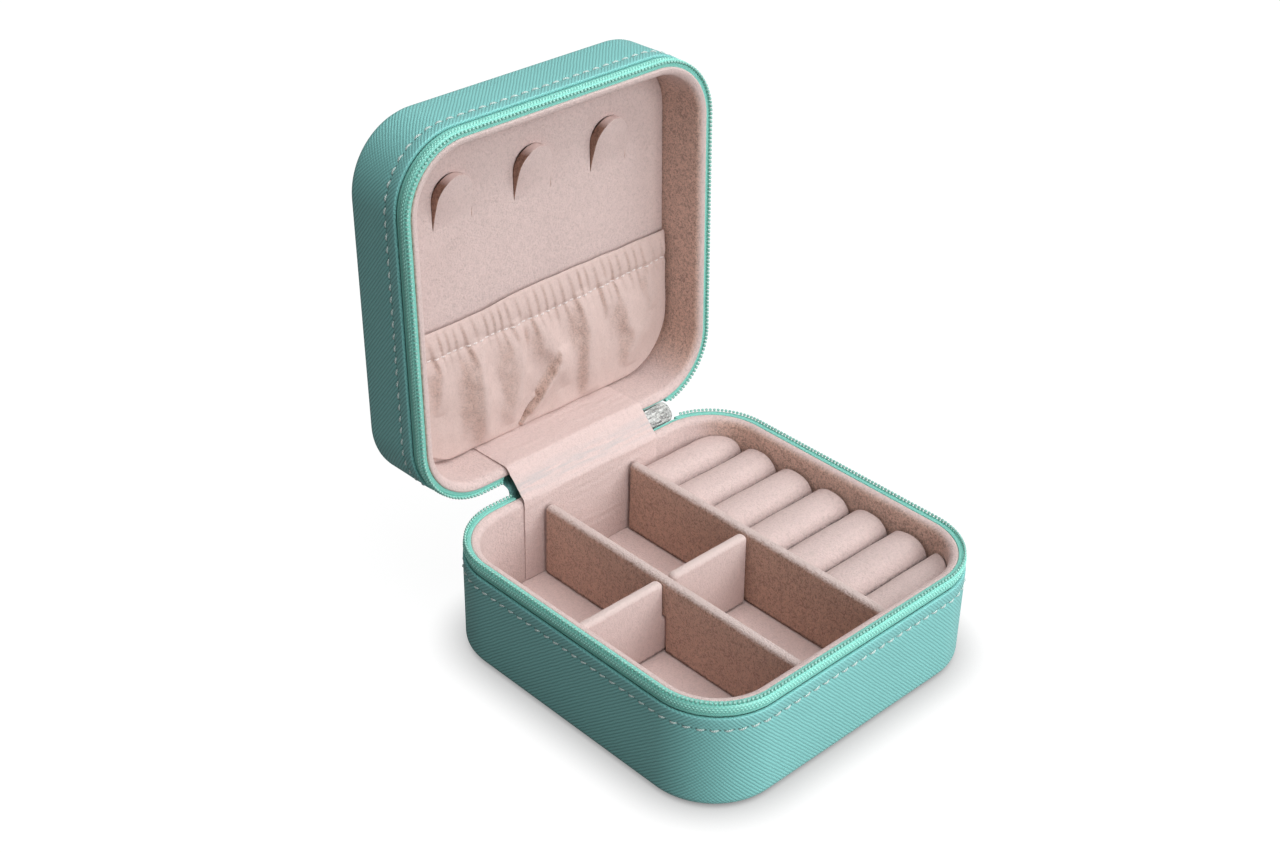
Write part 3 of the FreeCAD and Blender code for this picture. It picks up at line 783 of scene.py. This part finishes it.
def zip_coil(name, body, sewn_edge, heads, place, node, shift):
    """The sewn-down coil: its band of loops, the bare heads that would mesh with the other half's and
    three rows of stitches over it. shift is in pitches, so that the two halves' heads alternate."""
    away = 1 if heads > sewn_edge else -1
    middle = sewn_edge + away * 1.2
    band_edge = middle + away * COIL_TALL
    coil, necks, chain = Shape(), Shape(), Shape()
    band = []
    for k in range(16):
        angle = 2 * math.pi * k / 16
        band.append(Vector((COIL_INSET + COIL_DEEP * math.cos(angle), middle + COIL_TALL * math.sin(angle))))
    ring(coil, band, ZIP_START + 0.3, ZIP_STOP - 0.3, TAPE_STEP)
    for k in range(int((ZIP_STOP - ZIP_START - 1.2) / COIL_PITCH)):
        run = ZIP_START + 0.6 + (k + shift) * COIL_PITCH
        bead = [at_height(run + t, COIL_INSET, heads - away * 0.36)
                for t in (-0.40, -0.30, -0.12, 0.12, 0.30, 0.40)]
        tube(necks, bead, [0.16, 0.29, 0.34, 0.34, 0.29, 0.16], 8, 1.15)
        for t in (-0.2, 0.2):
            neck = [at_height(run + t, COIL_INSET, level)
                    for level in (heads - away * 0.3, band_edge - away * 0.35)]
            tube(necks, neck, 0.13, 5)
    for row, level in enumerate((-0.55, -0.02, 0.5)):
        inset = COIL_INSET - COIL_DEEP * math.sqrt(1 - level ** 2) - 0.02
        odd = row % 2
        for k in range(int((ZIP_STOP - ZIP_START - 1.5) / CHAIN_PITCH)):
            run = ZIP_START + 0.7 + (k + 0.5 * odd) * CHAIN_PITCH
            path = []
            for t in (-0.5, 0.0, 0.5):
                height = middle + away * (COIL_TALL * level + 0.14 * t * (1 - 2 * odd))
                path.append(at_height(run + t * 0.66, inset + 0.08 * abs(2 * t), height))
            tube(chain, path, [0.08, 0.14, 0.08], 5)
    necks.piece(name + "_heads", body, "zip_coil", head_nylon, place, smooth=80)
    chain.piece(name + "_chain", body, "zip_coil", chain_nylon, place, smooth=80)
    coil.piece(name, body, "zip_coil", coil_nylon, place, (node,), smooth=80)


zip_tape("base_tape", "base", BASE_EDGE - LEATHER, LINING_TOP + 0.1, as_drawn, "base_zip_tape")
zip_tape("lid_tape", "lid", LID_EDGE + LEATHER, LID_LIP + 0.46, opened, "lid_zip_tape")
zip_coil("base_coil", "base", BASE_EDGE + 1.25, HINGE_Z - 0.04, as_drawn, "base_zip_coil", 0.0)
zip_coil("lid_coil", "lid", LID_EDGE - 1.55, HINGE_Z + 0.04, opened, "lid_zip_coil", 0.5)


# ---- linings, floor and dividers ------------------------------------------------------------
def lining_wall(name, body, lip, far, place, node):
    """Padded velvet wall with a plump rounded lip."""
    into = -1 if lip > far else 1
    profile = softened([
        (2.25, far, 0), (2.25, lip + into * 4.0, 0), (2.02, lip + into * 1.6, 0), (2.02, lip, 0.5),
        (4.42, lip, 1.88), (4.38, lip + into * 3.5, 0), (4.46, lip + into * 9.0, 0), (4.46, far, 0)], steps=6)
    shape = Shape()
    ring(shape, profile)
    return shape.piece(name, body, "lining_velvet", lining, place, (node,))


def floor_pad():
    """Velvet-covered floor board with a soft edge."""
    under = node_box("base_floor_pad")[0].z
    reach = HALF - INNER
    profile = softened([(reach + 6, under, 0), (reach, under, 0), (reach, FLOOR_TOP, 0.7),
                        (reach + 6, FLOOR_TOP, 0)], closed=False)
    shape = Shape()
    rows = ring(shape, profile, close=False)
    for edge in (0, -1):
        shape.fill([[row[edge] for row in rows]])
    return shape.piece("floor_pad", "base", "lining_velvet", lit_floor_velvet, as_drawn, ("base_floor_pad",))


def divider(name, low, high, along_x, node, finish, slot=None):
    """Velvet-covered board standing on the floor. slot gives the lap's place along the board, and
    whether it is open at the top."""
    run, cross = (0, 1) if along_x else (1, 0)
    start, end = low[run] + END_GAP, high[run] - END_GAP
    centre, thick = middle_of(low, high, cross), high[cross] - low[cross]
    foot, top = low.z, high.z
    half_slot = thick / 2 + 0.3
    middle = (foot + top) / 2
    corners = [(start, foot, 0.9), (end, foot, 0.9), (end, top, 1.4), (start, top, 1.4)]
    if slot and slot[1]:
        a, b = slot[0] + half_slot, slot[0] - half_slot
        corners[3:3] = [(a, top, 1.4), (a, middle, 0), (b, middle, 0), (b, top, 1.4)]
    elif slot:
        a, b = slot[0] - half_slot, slot[0] + half_slot
        corners[1:1] = [(a, foot, 0), (a, middle, 0), (b, middle, 0), (b, foot, 0)]
    outer = softened(corners, steps=6)

    def place(along, height, depth):
        across = centre - thick / 2 + depth
        return (along, across, height) if along_x else (across, along, height)

    def edge_round(point):
        return 0.8 if point.y < middle + 0.01 else min(1.2, thick / 2 - 0.03)

    shape = Shape()
    plate(shape, outer, thick, edge_round, place, steps=5)
    return shape.piece(name, "base", "divider_velvet", finish, as_drawn, (node,))


lining_foot = node_box("base_lining_wall")[0].z
lining_wall("base_lining", "base", LINING_TOP, lining_foot, as_drawn, "base_lining_wall")
lining_wall("lid_lining", "lid", LID_LIP, lip_high.z, opened, "lid_lining_wall")
floor_pad()
crossing_x = middle_of(middle_low, middle_high, 0)
crossing_y = middle_of(cross_low, cross_high, 1)
divider("divider_by_rings", ring_low, ring_high, False, "ring_divider", shaded_divider_pile)
divider("divider_middle", middle_low, middle_high, False, "middle_divider", shaded_divider_pile, (crossing_y, False))
divider("divider_cross", cross_low, cross_high, True, "cross_divider", cross_pile, (crossing_x, True))


# ---- ring rolls -----------------------------------------------------------------------------
ROLL_INSET = 4.7         # from the leather to the rolls, in the lining's rounded corners
ROLL_REACH = 45.3        # farthest from the middle, towards the front and the hinge
ROLL_EDGE = 0.38         # rounding of a roll's ends
ROLL_COLUMNS = 44


def roll_end(along_y):
    """How far a roll can go to the right inside the lining's rounded corner."""
    beyond = max(0.0, abs(along_y) - STRAIGHT)
    return STRAIGHT + math.sqrt(max(0.0, (CORNER_R - ROLL_INSET) ** 2 - beyond ** 2))


def ring_roll(number):
    """Foam roll wrapped in velvet: a loaf section with soft shoulders and rounded ends."""
    node = "ring_roll_%d" % number
    low, high = node_box(node)
    long = high.x - low.x
    chance = random.Random(40 + number)
    y, half = middle_of(low, high, 1), (high.y - low.y) / 2
    z, top = middle_of(low, high, 2), high.z + chance.uniform(-0.15, 0.1)
    foot = node_box("ring_tray")[1].z
    ends = [ROLL_EDGE * (1 - math.cos(math.pi / 2 * k / 5)) for k in range(6)]
    xs = [low.x + e for e in ends]
    xs += [low.x + ROLL_EDGE + (long - 2 * ROLL_EDGE) * k / 14 for k in range(1, 14)]
    xs += [high.x - e for e in reversed(ends)]
    slump = chance.uniform(-0.25, 0.25)
    shape = Shape()
    rows = []
    for x in xs:
        near = min(x - low.x, high.x - x, ROLL_EDGE)
        shrink = ROLL_EDGE - math.sqrt(max(0.0, ROLL_EDGE ** 2 - (ROLL_EDGE - near) ** 2))
        row = []
        for k in range(ROLL_COLUMNS):
            angle = 2 * math.pi * k / ROLL_COLUMNS
            across = math.copysign(abs(math.cos(angle)) ** 0.82, math.cos(angle)) * (half - shrink + 0.02)
            up = math.sin(angle)
            rise = (top - z - shrink) * abs(up) ** 0.88 if up > 0 else -(z - foot) * min(1.0, 1.6 * abs(up))
            ripple = 0.10 * noise.noise(Vector((x * 0.16, across * 0.3 + number * 7, up)))
            skew = slump * max(0.0, up) * math.sin((x - low.x) / long * math.pi)
            side = max(-ROLL_REACH, min(ROLL_REACH, y + across + skew + ripple))
            kept = low.x + (x - low.x) * min(1.0, (roll_end(side) - low.x) / long)
            row.append(shape.add((kept, side, z + rise + ripple * (up > 0))))
        rows.append(row)
    shape.skin(rows, lambda i, j: (xs[i] * MM, j / ROLL_COLUMNS * 2 * math.pi * half * MM))
    roll = shape.piece("roll_%d" % number, "base", "roll_velvet", roll_pile, as_drawn, (node,), smooth=70)


for number in range(1, 8):
    ring_roll(number)


# ---- lid panel and its hooks ----------------------------------------------------------------
HOOK_GAP = 0.09          # cut line round each flap
HOOK_THICK = 1.5
HOOK_BEND = math.radians(15.5)
HOOK_CURL = 1.6          # the bend is mostly within this distance of the root
CUT_ROUND = 0.2          # rounding of the cut velvet edges


def arch(centre, half, root, tip, clockwise=False):
    """Round-ended tongue outline, with its round end at tip (towards -Y)."""
    count = 18
    centre_y = tip + half
    sides = [root + (centre_y - root) * k / 8 for k in range(8)]
    points = [Vector((centre - half, y)) for y in sides]
    for k in range(count + 1):
        angle = math.pi + math.pi * k / count
        points.append(Vector((centre + half * math.cos(angle), centre_y + half * math.sin(angle))))
    points += [Vector((centre + half, y)) for y in reversed(sides)]
    return list(reversed(points)) if clockwise else points


def hook_places():
    """Centre X, half width, root Y and tip Y of each flap, from the CAD tongues with the lid shut."""
    found = {}
    for side in ("left", "centre", "right"):
        low, high = node_box("hook_tab_" + side, LID_OPEN)
        found[side] = (middle_of(low, high, 0), (high.x - low.x) / 2, high.y + 0.4, low.y)
    return found


def lid_panel(hooks):
    """Velvet-covered panel with three tongue-shaped cut-outs that the flaps fill."""
    reach = HALF - panel_high.x
    count = 120
    outer = [outline_at(ALL_ROUND * k / count, reach)[0] for k in range(count)]
    holes = [arch(x, half + HOOK_GAP, root, tip - HOOK_GAP, clockwise=True)
             for x, half, root, tip in hooks.values()]
    root_y = hooks["left"][2]

    def place(a, b, depth):
        return (a, b, PANEL_FRONT + depth)

    def edge_round(point):
        if max(abs(point.x), abs(point.y)) > INNER - 8:
            return 0.45
        return 0.0 if abs(point.y - root_y) < 0.01 else CUT_ROUND

    shape = Shape()
    plate(shape, outer, panel_high.z - PANEL_FRONT, edge_round, place, holes)
    return shape.piece("panel", "lid", "lining_velvet", lining, opened, ("lid_panel",))


def hook_flap(side, centre, half, root, tip):
    """Tongue of the panel, bent out of it close to its root and plumper towards its tip."""
    def place(a, b, depth):
        along = root - b
        if along <= 0:
            return (a, b, PANEL_FRONT + depth)
        depth *= 1 + 1.25 * min(1.0, along / (root - tip - half))
        bend = HOOK_BEND * (1 - 0.3 * (a - centre) / half)
        bent = 1 - math.exp(-along / HOOK_CURL)
        angle = bend * bent
        lift = bend * (along - HOOK_CURL * bent)
        return (a, b + 0.35 * depth * math.sin(angle) - 0.12 * lift,
                PANEL_FRONT - lift + depth * math.cos(angle))

    def edge_round(point):
        return 0.0 if abs(point.y - root) < 0.01 else CUT_ROUND

    shape = Shape()
    plate(shape, arch(centre, half, root, tip), HOOK_THICK, edge_round, place)
    flap = shape.piece("hook_flap_" + side, "lid", "lining_velvet", hook_velvet, opened,
                       ("hook_tab_" + side,), ride=False)
    start = opened((centre, root - 0.2, PANEL_FRONT)) * MM
    end = opened((centre, root - 3.5, PANEL_FRONT)) * MM
    "hook_" + side
    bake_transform(flap)


hooks = hook_places()
lid_panel(hooks)
for side, (centre, half, root, tip) in hooks.items():
    hook_flap(side, centre, half, root, tip)


# ---- gathered pocket ------------------------------------------------------------------------
MOUTH_Y = pocket_low.y - 2.25
POCKET_FOOT = pocket_high.y - 0.35
POCKET_SIDE = pocket_high.x - 0.35
POCKET_CORNER = 17.0
FABRIC = 0.8
GATHER_PITCH = 2.95


def between(value):
    return min(1.0, max(0.0, value))


def mouth_y(x):
    """The mouth's edge, which sags towards the left."""
    return MOUTH_Y + 0.85 * (1 - math.tanh((x + 13) / 8)) + 0.2 * noise.noise(Vector((x * 0.16, 7.7, 0.0)))


def hem_y(x):
    """The line of stitches that holds the elastic in the hem."""
    return MOUTH_Y + 8.85 - 0.03 * max(0.0, x) + 0.25 * noise.noise(Vector((x * 0.1, 1.0, 0.0)))


def side_x(y):
    """Half the pocket's width, less in its rounded lower corners."""
    below = y - (POCKET_FOOT - POCKET_CORNER)
    if below <= 0:
        return POCKET_SIDE
    return POCKET_SIDE - POCKET_CORNER + math.sqrt(max(0.0, POCKET_CORNER ** 2 - below ** 2))


def line_x(y, points):
    """X along a polyline of (x, y) points, held level beyond its ends."""
    if y <= points[0][1]:
        return points[0][0]
    for (x0, y0), (x1, y1) in zip(points, points[1:]):
        if y <= y1:
            return x0 + (x1 - x0) * (y - y0) / (y1 - y0)
    return points[-1][0]


# Soft folds of the hanging fabric: the crest from top to foot, how far the fold falls away to its
# left and to its right, and its height, which is negative for a tuck.
POCKET_FOLDS = [
    ([(-21.8, 14.5), (-22.4, 22.0), (-22.2, 29.0), (-21.4, 36.0), (-20.3, 43.0)], 4.2, 3.6, 3.0),
    ([(-9.0, 13.8), (-9.6, 20.0), (-9.2, 25.0), (-9.2, 30.0), (-11.5, 40.0)], 4.6, 2.8, 2.2),
    ([(-6.4, 13.0), (-6.8, 19.0), (-6.3, 26.0)], 1.0, 1.0, -0.6),
    ([(-1.4, 15.0), (1.4, 23.0), (4.6, 29.0), (6.5, 36.0)], 3.6, 4.6, 1.7),
    ([(13.8, 13.5), (13.5, 21.0), (14.6, 29.0), (16.0, 42.0)], 3.9, 5.6, 2.9),
    ([(26.4, 15.5), (28.6, 23.4), (31.4, 30.5), (31.0, 39.0)], 4.0, 5.6, 2.3),
    ([(4.2, 26.5), (0.4, 33.0), (-3.4, 38.6), (-4.6, 40.4)], 1.4, 4.6, 1.7),
    ([(1.6, 30.8), (-3.6, 38.2), (-7.4, 43.6)], 0.5, 3.8, 1.0),
    ([(-3.2, 37.0), (-4.6, 38.6), (-8.2, 43.6)], 0.45, 0.4, -1.0),
    ([(-34.0, 14.0), (-34.5, 28.0)], 2.6, 3.4, 1.4), ([(21.2, 12.5), (22.0, 21.0)], 1.6, 2.2, 1.0),
    ([(37.0, 12.0), (38.5, 24.0)], 2.2, 3.0, 1.1),
]


def pocket_height(x, y):
    """How far the pocket's face stands out of the panel."""
    t = (y - MOUTH_Y) / (POCKET_FOOT - MOUTH_Y)
    height = 1.15 + 1.0 * math.sin(math.pi * between(t * 1.02)) ** 0.8
    below = y - hem_y(x)
    hanging = between(below / 3.0)
    strayed = x + hanging * (0.9 * noise.noise(Vector((x * 0.10, y * 0.12, 1.0)))
                             + 0.35 * noise.noise(Vector((x * 0.4, y * 0.4, 2.0))))
    for crest, left, right, tall in POCKET_FOLDS:
        along = (y - crest[0][1] + 2.0) / (crest[-1][1] - crest[0][1] + 4.0)
        swell = math.sin(math.pi * between(along)) ** 0.6
        aside = strayed - line_x(y, crest)
        wide = (left if aside < 0 else right) * (0.5 + 0.5 * swell)
        height += tall * swell * math.exp(-(aside / wide) ** 2)
    wander = 1.4 * noise.noise(Vector((x * 0.13, 3.1, 0.0))) - 0.22 * (y - MOUTH_Y)
    phase = 2 * math.pi * (x + wander) / GATHER_PITCH
    hem = between(0.2 + (y - mouth_y(x)) / 3.0) if below < 0 else math.exp(-(below / 5.0) ** 2)
    uneven = 0.75 + 0.8 * noise.noise(Vector((x * 0.22, y * 0.08, 5.0)))
    height += 0.21 * math.sin(phase + 0.5 * math.sin(phase)) * hem * uneven
    height += 0.5 * math.sin(math.pi * between((y - mouth_y(x)) / (hem_y(x) - mouth_y(x))))
    height -= 0.34 * math.exp(-(below / 0.75) ** 2)
    height += hanging * 0.45 * noise.noise(Vector((x * 0.11, y * 0.07, 9.0)))
    height += hanging * 0.22 * noise.noise(Vector((x * 0.3, y * 0.2, 2.0)))
    rim = between(min(side_x(y) - abs(x), POCKET_FOOT - y) / 1.3)
    return max(0.35, height * math.sqrt(1 - (1 - rim) ** 2))


def gathered_pocket():
    """Suede pocket gathered on its elastic, closed at the sides and foot, with a folded mouth edge."""
    across, down = 300, 104
    shape = Shape()
    front, back = [], []
    for i in range(down + 1):
        t = i / down
        width = side_x(MOUTH_Y + (POCKET_FOOT - MOUTH_Y) * t)
        row_front, row_back = [], []
        for j in range(across + 1):
            x = width * (2 * j / across - 1)
            y = mouth_y(x) + (POCKET_FOOT - mouth_y(x)) * t
            height = pocket_height(x, y)
            from_mouth = max(0.0, 1 - (y - mouth_y(x)) / 0.5)
            turn = FABRIC / 2 * (1 - math.sqrt(max(0.0, 1 - from_mouth ** 2)))
            row_front.append(shape.add((x, y, PANEL_FRONT - height - FABRIC * 0.6 + turn)))
            row_back.append(shape.add((x, y, PANEL_FRONT - height + FABRIC * 0.4 - turn)))
        front.append(row_front)
        back.append(row_back)

    def uv(i, j):
        return (j / across * 2 * pocket_high.x * MM, i / down * (POCKET_FOOT - MOUTH_Y) * MM)

    shape.grid(front, uv)
    shape.grid([list(reversed(row)) for row in back], uv)
    border = [(0, j) for j in range(across)] + [(i, across) for i in range(down)]
    border += [(down, j) for j in range(across, 0, -1)] + [(i, 0) for i in range(down, 0, -1)]
    for (a, b), (c, d) in zip(border, border[1:] + border[:1]):
        shape.face([front[a][b], front[c][d], back[c][d], back[a][b]])
    return shape.piece("gathered_pocket", "lid", "pocket_suede", pocket_suede, opened, ("pocket",), smooth=60)


def hem_stitches():
    """Running stitch that holds the elastic in the pocket's hem."""
    shape = Shape()
    pitch, length = 2.05, 1.35
    reach = pocket_high.x - 1.2
    count = int(2 * reach / pitch)
    for k in range(count):
        middle = -reach + (k + 0.5) * 2 * reach / count
        path = []
        for step in range(7):
            t = step / 6 - 0.5
            x = middle + t * length
            lift = 0.2 * math.cos(math.pi * t) - 0.08
            y = hem_y(x)
            path.append(Vector((x, y, PANEL_FRONT - pocket_height(x, y) - FABRIC * 0.6 - lift)))
        tube(shape, path, [0.1, 0.18, 0.22, 0.23, 0.22, 0.18, 0.1])
    return shape.piece("hem_stitches", "lid", "thread", pocket_thread, opened)


pocket = gathered_pocket()
hems = hem_stitches()


# ---- hinge: inner velvet strip and outer leather spine --------------------------------------
def hinge_band(name, slot, finish, line, thick, half_width, nodes, rough=0.0):
    """A band across the hinge that follows a line of (y, z) points, drawn with the lid open."""
    run = [0.0]
    for a, b in zip(line, line[1:]):
        run.append(run[-1] + (b - a).length)
    columns = 48
    shape = Shape()
    rows = []
    for k, point in enumerate(line):
        along = (line[min(k + 1, len(line) - 1)] - line[max(k - 1, 0)]).normalized()
        out = Vector((-along.y, along.x))
        row = []
        for side in (0, 1):
            for j in range(columns + 1):
                x = half_width * (2 * j / columns - 1) * (1 if side == 0 else -1)
                edge = max(0.0, 1 - (half_width - abs(x)) / 0.6)
                thin = thick / 2 * (1 - 0.7 * edge ** 2)
                wrinkle = rough * noise.noise(Vector((x * 0.10, run[k] * 0.8, 0.0)))
                depth = (thin if side == 0 else -thin) + wrinkle
                row.append(shape.add((x, point.x + out.x * depth, point.y + out.y * depth)))
        rows.append(row)
    width = len(rows[0])

    def uv(i, j):
        return (shape.points[rows[i % len(rows)][j % width]].x * MM, run[i] * MM)

    shape.skin(rows, uv)
    band = shape.piece(name, "base", slot, finish, as_drawn, nodes, ride=False)
    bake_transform(band)
    return band


strip = hinge_band("hinge_strip", "lining_velvet", strip_velvet, strip_line, 0.55, strip_high.x,
                   ("hinge_lining_base", "hinge_lining_lid"), rough=0.12)

spine_y = HALF + 0.42
spine_far = on_lid(spine_y, HINGE_Z + 16.0)
spine_edge = on_lid(spine_y, LID_EDGE)
spine_line = smooth_line([
    (spine_y, spine_low.z, 0), (spine_y, BASE_EDGE, 1.5), (HINGE_Y - 0.15, HINGE_Z + 0.1, 1.4),
    (*spine_edge, 1.5), (*spine_far, 0)], step=0.7)
hinge_band("hinge_spine", "spine_leather", spine_leather, spine_line, 0.84, spine_high.x,
           ("hinge_spine_base", "hinge_spine_lid"))


# ---- slider, crown and pull tab -------------------------------------------------------------
def slider():
    """Cast slider: two plump plates, the post between them and the flanges beside the coils."""
    centre_z = middle_of(slider_low, slider_high, 2)
    half = (slider_high.z - slider_low.z) / 2
    x0, x1 = slider_low.x, slider_high.x
    plate_thick = 0.9
    inner, outer = slider_low.y + plate_thick, slider_high.y - plate_thick
    shape = Shape()

    def add(outline, thick, edge_round, y, side, steps):
        plate(shape, outline, thick, edge_round, lambda a, b, depth: (a, y + side * depth, b), steps=steps)

    outline = tapered((x0, half * 0.86, 0.5), (x1, half, 2.3), centre_z, 7)
    for y, side in ((slider_low.y, 1), (slider_high.y, -1)):
        add(outline, plate_thick, 0.4, y, side, 4)
    post = tapered((x1 - 3.0, 0.8, 0.3), (x1 - 1.2, 0.8, 0.5), centre_z)
    add(post, outer - inner + 0.4, 0.05, inner - 0.2, 1, 1)
    for edge in (-1, 1):
        flange = tapered((x0 + 1.5, 0.33, 0.1), (x1 - 3.2, 0.33, 0.1), centre_z + edge * (half - 0.35))
        for y, side in ((inner - 0.2, 1), (outer + 0.2, -1)):
            add(flange, 0.8, 0.1, y, side, 2)
    shape.piece("zip_slider", "slider", "zip_metal", zip_metal, half_opened, ("slider_body",))


def crown():
    """Bridge on the slider's outer plate."""
    x, z = middle_of(crown_low, crown_high, 0), middle_of(crown_low, crown_high, 2)
    half = (crown_high.x - crown_low.x) / 2
    base, top = crown_low.y - 0.25, crown_high.y
    wall = 0.8
    width = crown_high.z - crown_low.z

    def arched(half, top, radius):
        return softened([(x - half, base, 0), (x + half, base, 0), (x + half, top, radius),
                         (x - half, top, radius)], steps=6)

    outer, inner = arched(half, top, 1.6), arched(half - wall, top - wall, 0.9)
    loop = outer[1:] + [outer[0], inner[0]] + list(reversed(inner[1:]))
    shape = Shape()
    plate(shape, loop, width, 0.22, lambda a, b, depth: (a, b, z - width / 2 + depth), steps=3)
    shape.piece("zip_crown", "slider", "zip_metal", zip_metal, half_opened, ("slider_crown",))


def pull():
    """Cast pull: a pin through the crown, two arms and a flat handle with an eye."""
    x, z = middle_of(crown_low, crown_high, 0), middle_of(tab_low, tab_high, 2)
    half = (tab_high.z - tab_low.z) / 2
    pin_y, end_y = tab_low.y + 0.5, tab_high.y
    handle_y = pin_y + 3.9
    thick = 1.2
    shape = Shape()
    handle = tapered((handle_y, half, 2.0), (end_y, half * 0.95, 2.3), z, 8)
    eye_y, eye_r = end_y - half, 1.15
    eye = [Vector((eye_y + eye_r * math.cos(a), z + eye_r * math.sin(a)))
           for a in [-2 * math.pi * k / 24 for k in range(24)]]
    plate(shape, handle, thick, 0.35, lambda a, b, depth: (x - thick / 2 + depth, a, b), [eye], 4)
    arm = ((pin_y, 1.2), (pin_y, 1.55), (pin_y + 0.3, 1.75), (pin_y + 1.2, 1.8), (pin_y + 2.8, 1.8),
           (handle_y + 0.8, 1.6))
    for side in (-1, 1):
        tube(shape, [Vector((x, y, z + side * aside)) for y, aside in arm], 0.5, 12)
    tube(shape, [Vector((x, pin_y, z + aside)) for aside in (-1.6, 0, 1.6)], 0.45, 12)
    shape.piece("zip_pull", "pull_tab", "zip_metal", zip_metal, half_opened, ("pull_tab",))


slider()
crown()
pull()

# ---- CAD pieces that stay, with their own finish --------------------------------------------
for node, slot_name, finish in (("base_core_box", "core_board", board), ("lid_core_box", "core_board", board),
                                ("ring_tray", "padding", foam), ("lid_backing", "padding", foam),
                                ("pocket_elastic", "elastic", elastic)):
    cad_piece = frame["nodes"][node]
    cad_piece.data.materials.clear()
    cad_piece.data.materials.append(finish)


# ---- camera, floor and light ----------------------------------------------------------------
def camera():
    """The photo's camera, solved from the case's straight edges."""
    azimuth, elevation, roll = math.radians(-44.03), math.radians(32.19), math.radians(1.0)
    back = Vector((math.sin(azimuth) * math.cos(elevation), -math.cos(azimuth) * math.cos(elevation),
                   math.sin(elevation)))
    target, distance = Vector((0.0064, 0.03404, 0.04597)), 0.50613
    right = (-back).cross(Vector((0, 0, 1))).normalized()
    up = right.cross(-back)
    x_axis = right * math.cos(roll) + up * math.sin(roll)
    y_axis = up * math.cos(roll) - right * math.sin(roll)
    data = bpy.data.cameras.new("camera")
    data.sensor_width = 36.0
    data.lens = 55.21
    data.clip_start = 0.01
    made = scene_object("camera", data)
    turn = Matrix((x_axis, y_axis, back)).transposed().to_4x4()
    made.matrix_world = Matrix.Translation(target + back * distance) @ turn
    bpy.context.scene.camera = made


def cleared(thing):
    """The emptied node tree of a material or world."""
    thing.use_nodes = True
    thing.node_tree.nodes.clear()
    return thing.node_tree


def stage_node(tree, kind, **values):
    node = tree.nodes.new("ShaderNode" + kind)
    for socket, value in values.items():
        node.inputs[socket].default_value = value
    return node


def grey(amount):
    return (amount, amount, amount, 1)


def seen_or_lighting(tree, seen, lighting, output):
    """Join two shaders to the output: what the camera sees, and what gives light to the rest."""
    path = stage_node(tree, "LightPath")
    mixer = stage_node(tree, "MixShader")
    tree.links.new(path.outputs["Is Camera Ray"], mixer.inputs[0])
    tree.links.new(lighting.outputs[0], mixer.inputs[1])
    tree.links.new(seen.outputs[0], mixer.inputs[2])
    tree.links.new(mixer.outputs[0], stage_node(tree, output).inputs[0])


def studio_floor():
    """Plain pale floor that shows only a faint shadow: a painted contact shadow from ambient occlusion dims
    its glow near the case, with a little real diffuse shade added.
    """
    mesh = bpy.data.meshes.new("floor")
    work = bmesh.new()
    bmesh.ops.create_grid(work, x_segments=8, y_segments=8, size=3.0)
    work.to_mesh(mesh)
    work.free()
    floor = scene_object("floor", mesh)
    floor.location.z = base_low.z * MM - 0.0002
    paint = bpy.data.materials.new("pale floor")
    tree = cleared(paint)
    glow = stage_node(tree, "Emission")
    # Painted contact shadow: the floor's glow is dimmed by ambient occlusion near the case.
    near = stage_node(tree, "AmbientOcclusion", Distance=0.011)
    near.samples = 16
    contact_shadow = stage_node(tree, "Math")
    contact_shadow.operation = "MULTIPLY_ADD"
    contact_shadow.inputs[1].default_value = 0.82
    contact_shadow.inputs[2].default_value = 0.14
    tree.links.new(near.outputs["AO"], contact_shadow.inputs[0])
    tree.links.new(contact_shadow.outputs[0], glow.inputs["Strength"])
    pale = stage_node(tree, "BsdfDiffuse", Color=grey(0.10))
    both = stage_node(tree, "AddShader")
    tree.links.new(glow.outputs[0], both.inputs[0])
    tree.links.new(pale.outputs[0], both.inputs[1])
    seen_or_lighting(tree, both, stage_node(tree, "BsdfDiffuse", Color=grey(0.28)), "OutputMaterial")
    mesh.materials.append(paint)


def softbox(name, direction, size, power):
    data = bpy.data.lights.new(name, "AREA")
    data.shape = "RECTANGLE"
    data.size = data.size_y = size
    data.energy = power
    away = Vector(direction).normalized()
    turn = away.to_track_quat("Z", "Y").to_matrix().to_4x4()
    scene_object(name, data).matrix_world = Matrix.Translation(LIT_POINT + away * LIGHT_DISTANCE) @ turn


def surroundings():
    world = bpy.data.worlds.new("studio")
    tree = cleared(world)
    white = stage_node(tree, "Background", Strength=1.0, Color=grey(1))
    dim = stage_node(tree, "Background", Strength=0.155, Color=grey(1))
    seen_or_lighting(tree, white, dim, "OutputWorld")
    bpy.context.scene.world = world
    bpy.context.scene.view_settings.view_transform = "Standard"


LIT_POINT = Vector((0, 0.01, 0.05))
LIGHT_DISTANCE = 1.1

camera()
studio_floor()
softbox("front light", (0.02, -0.94, 0.34), 0.8, 7.7)
softbox("key light", (0.64, -0.42, 0.64), 0.7, 5.2)
softbox("top light", (0.0, -0.18, 0.98), 0.9, 6.6)
surroundings()
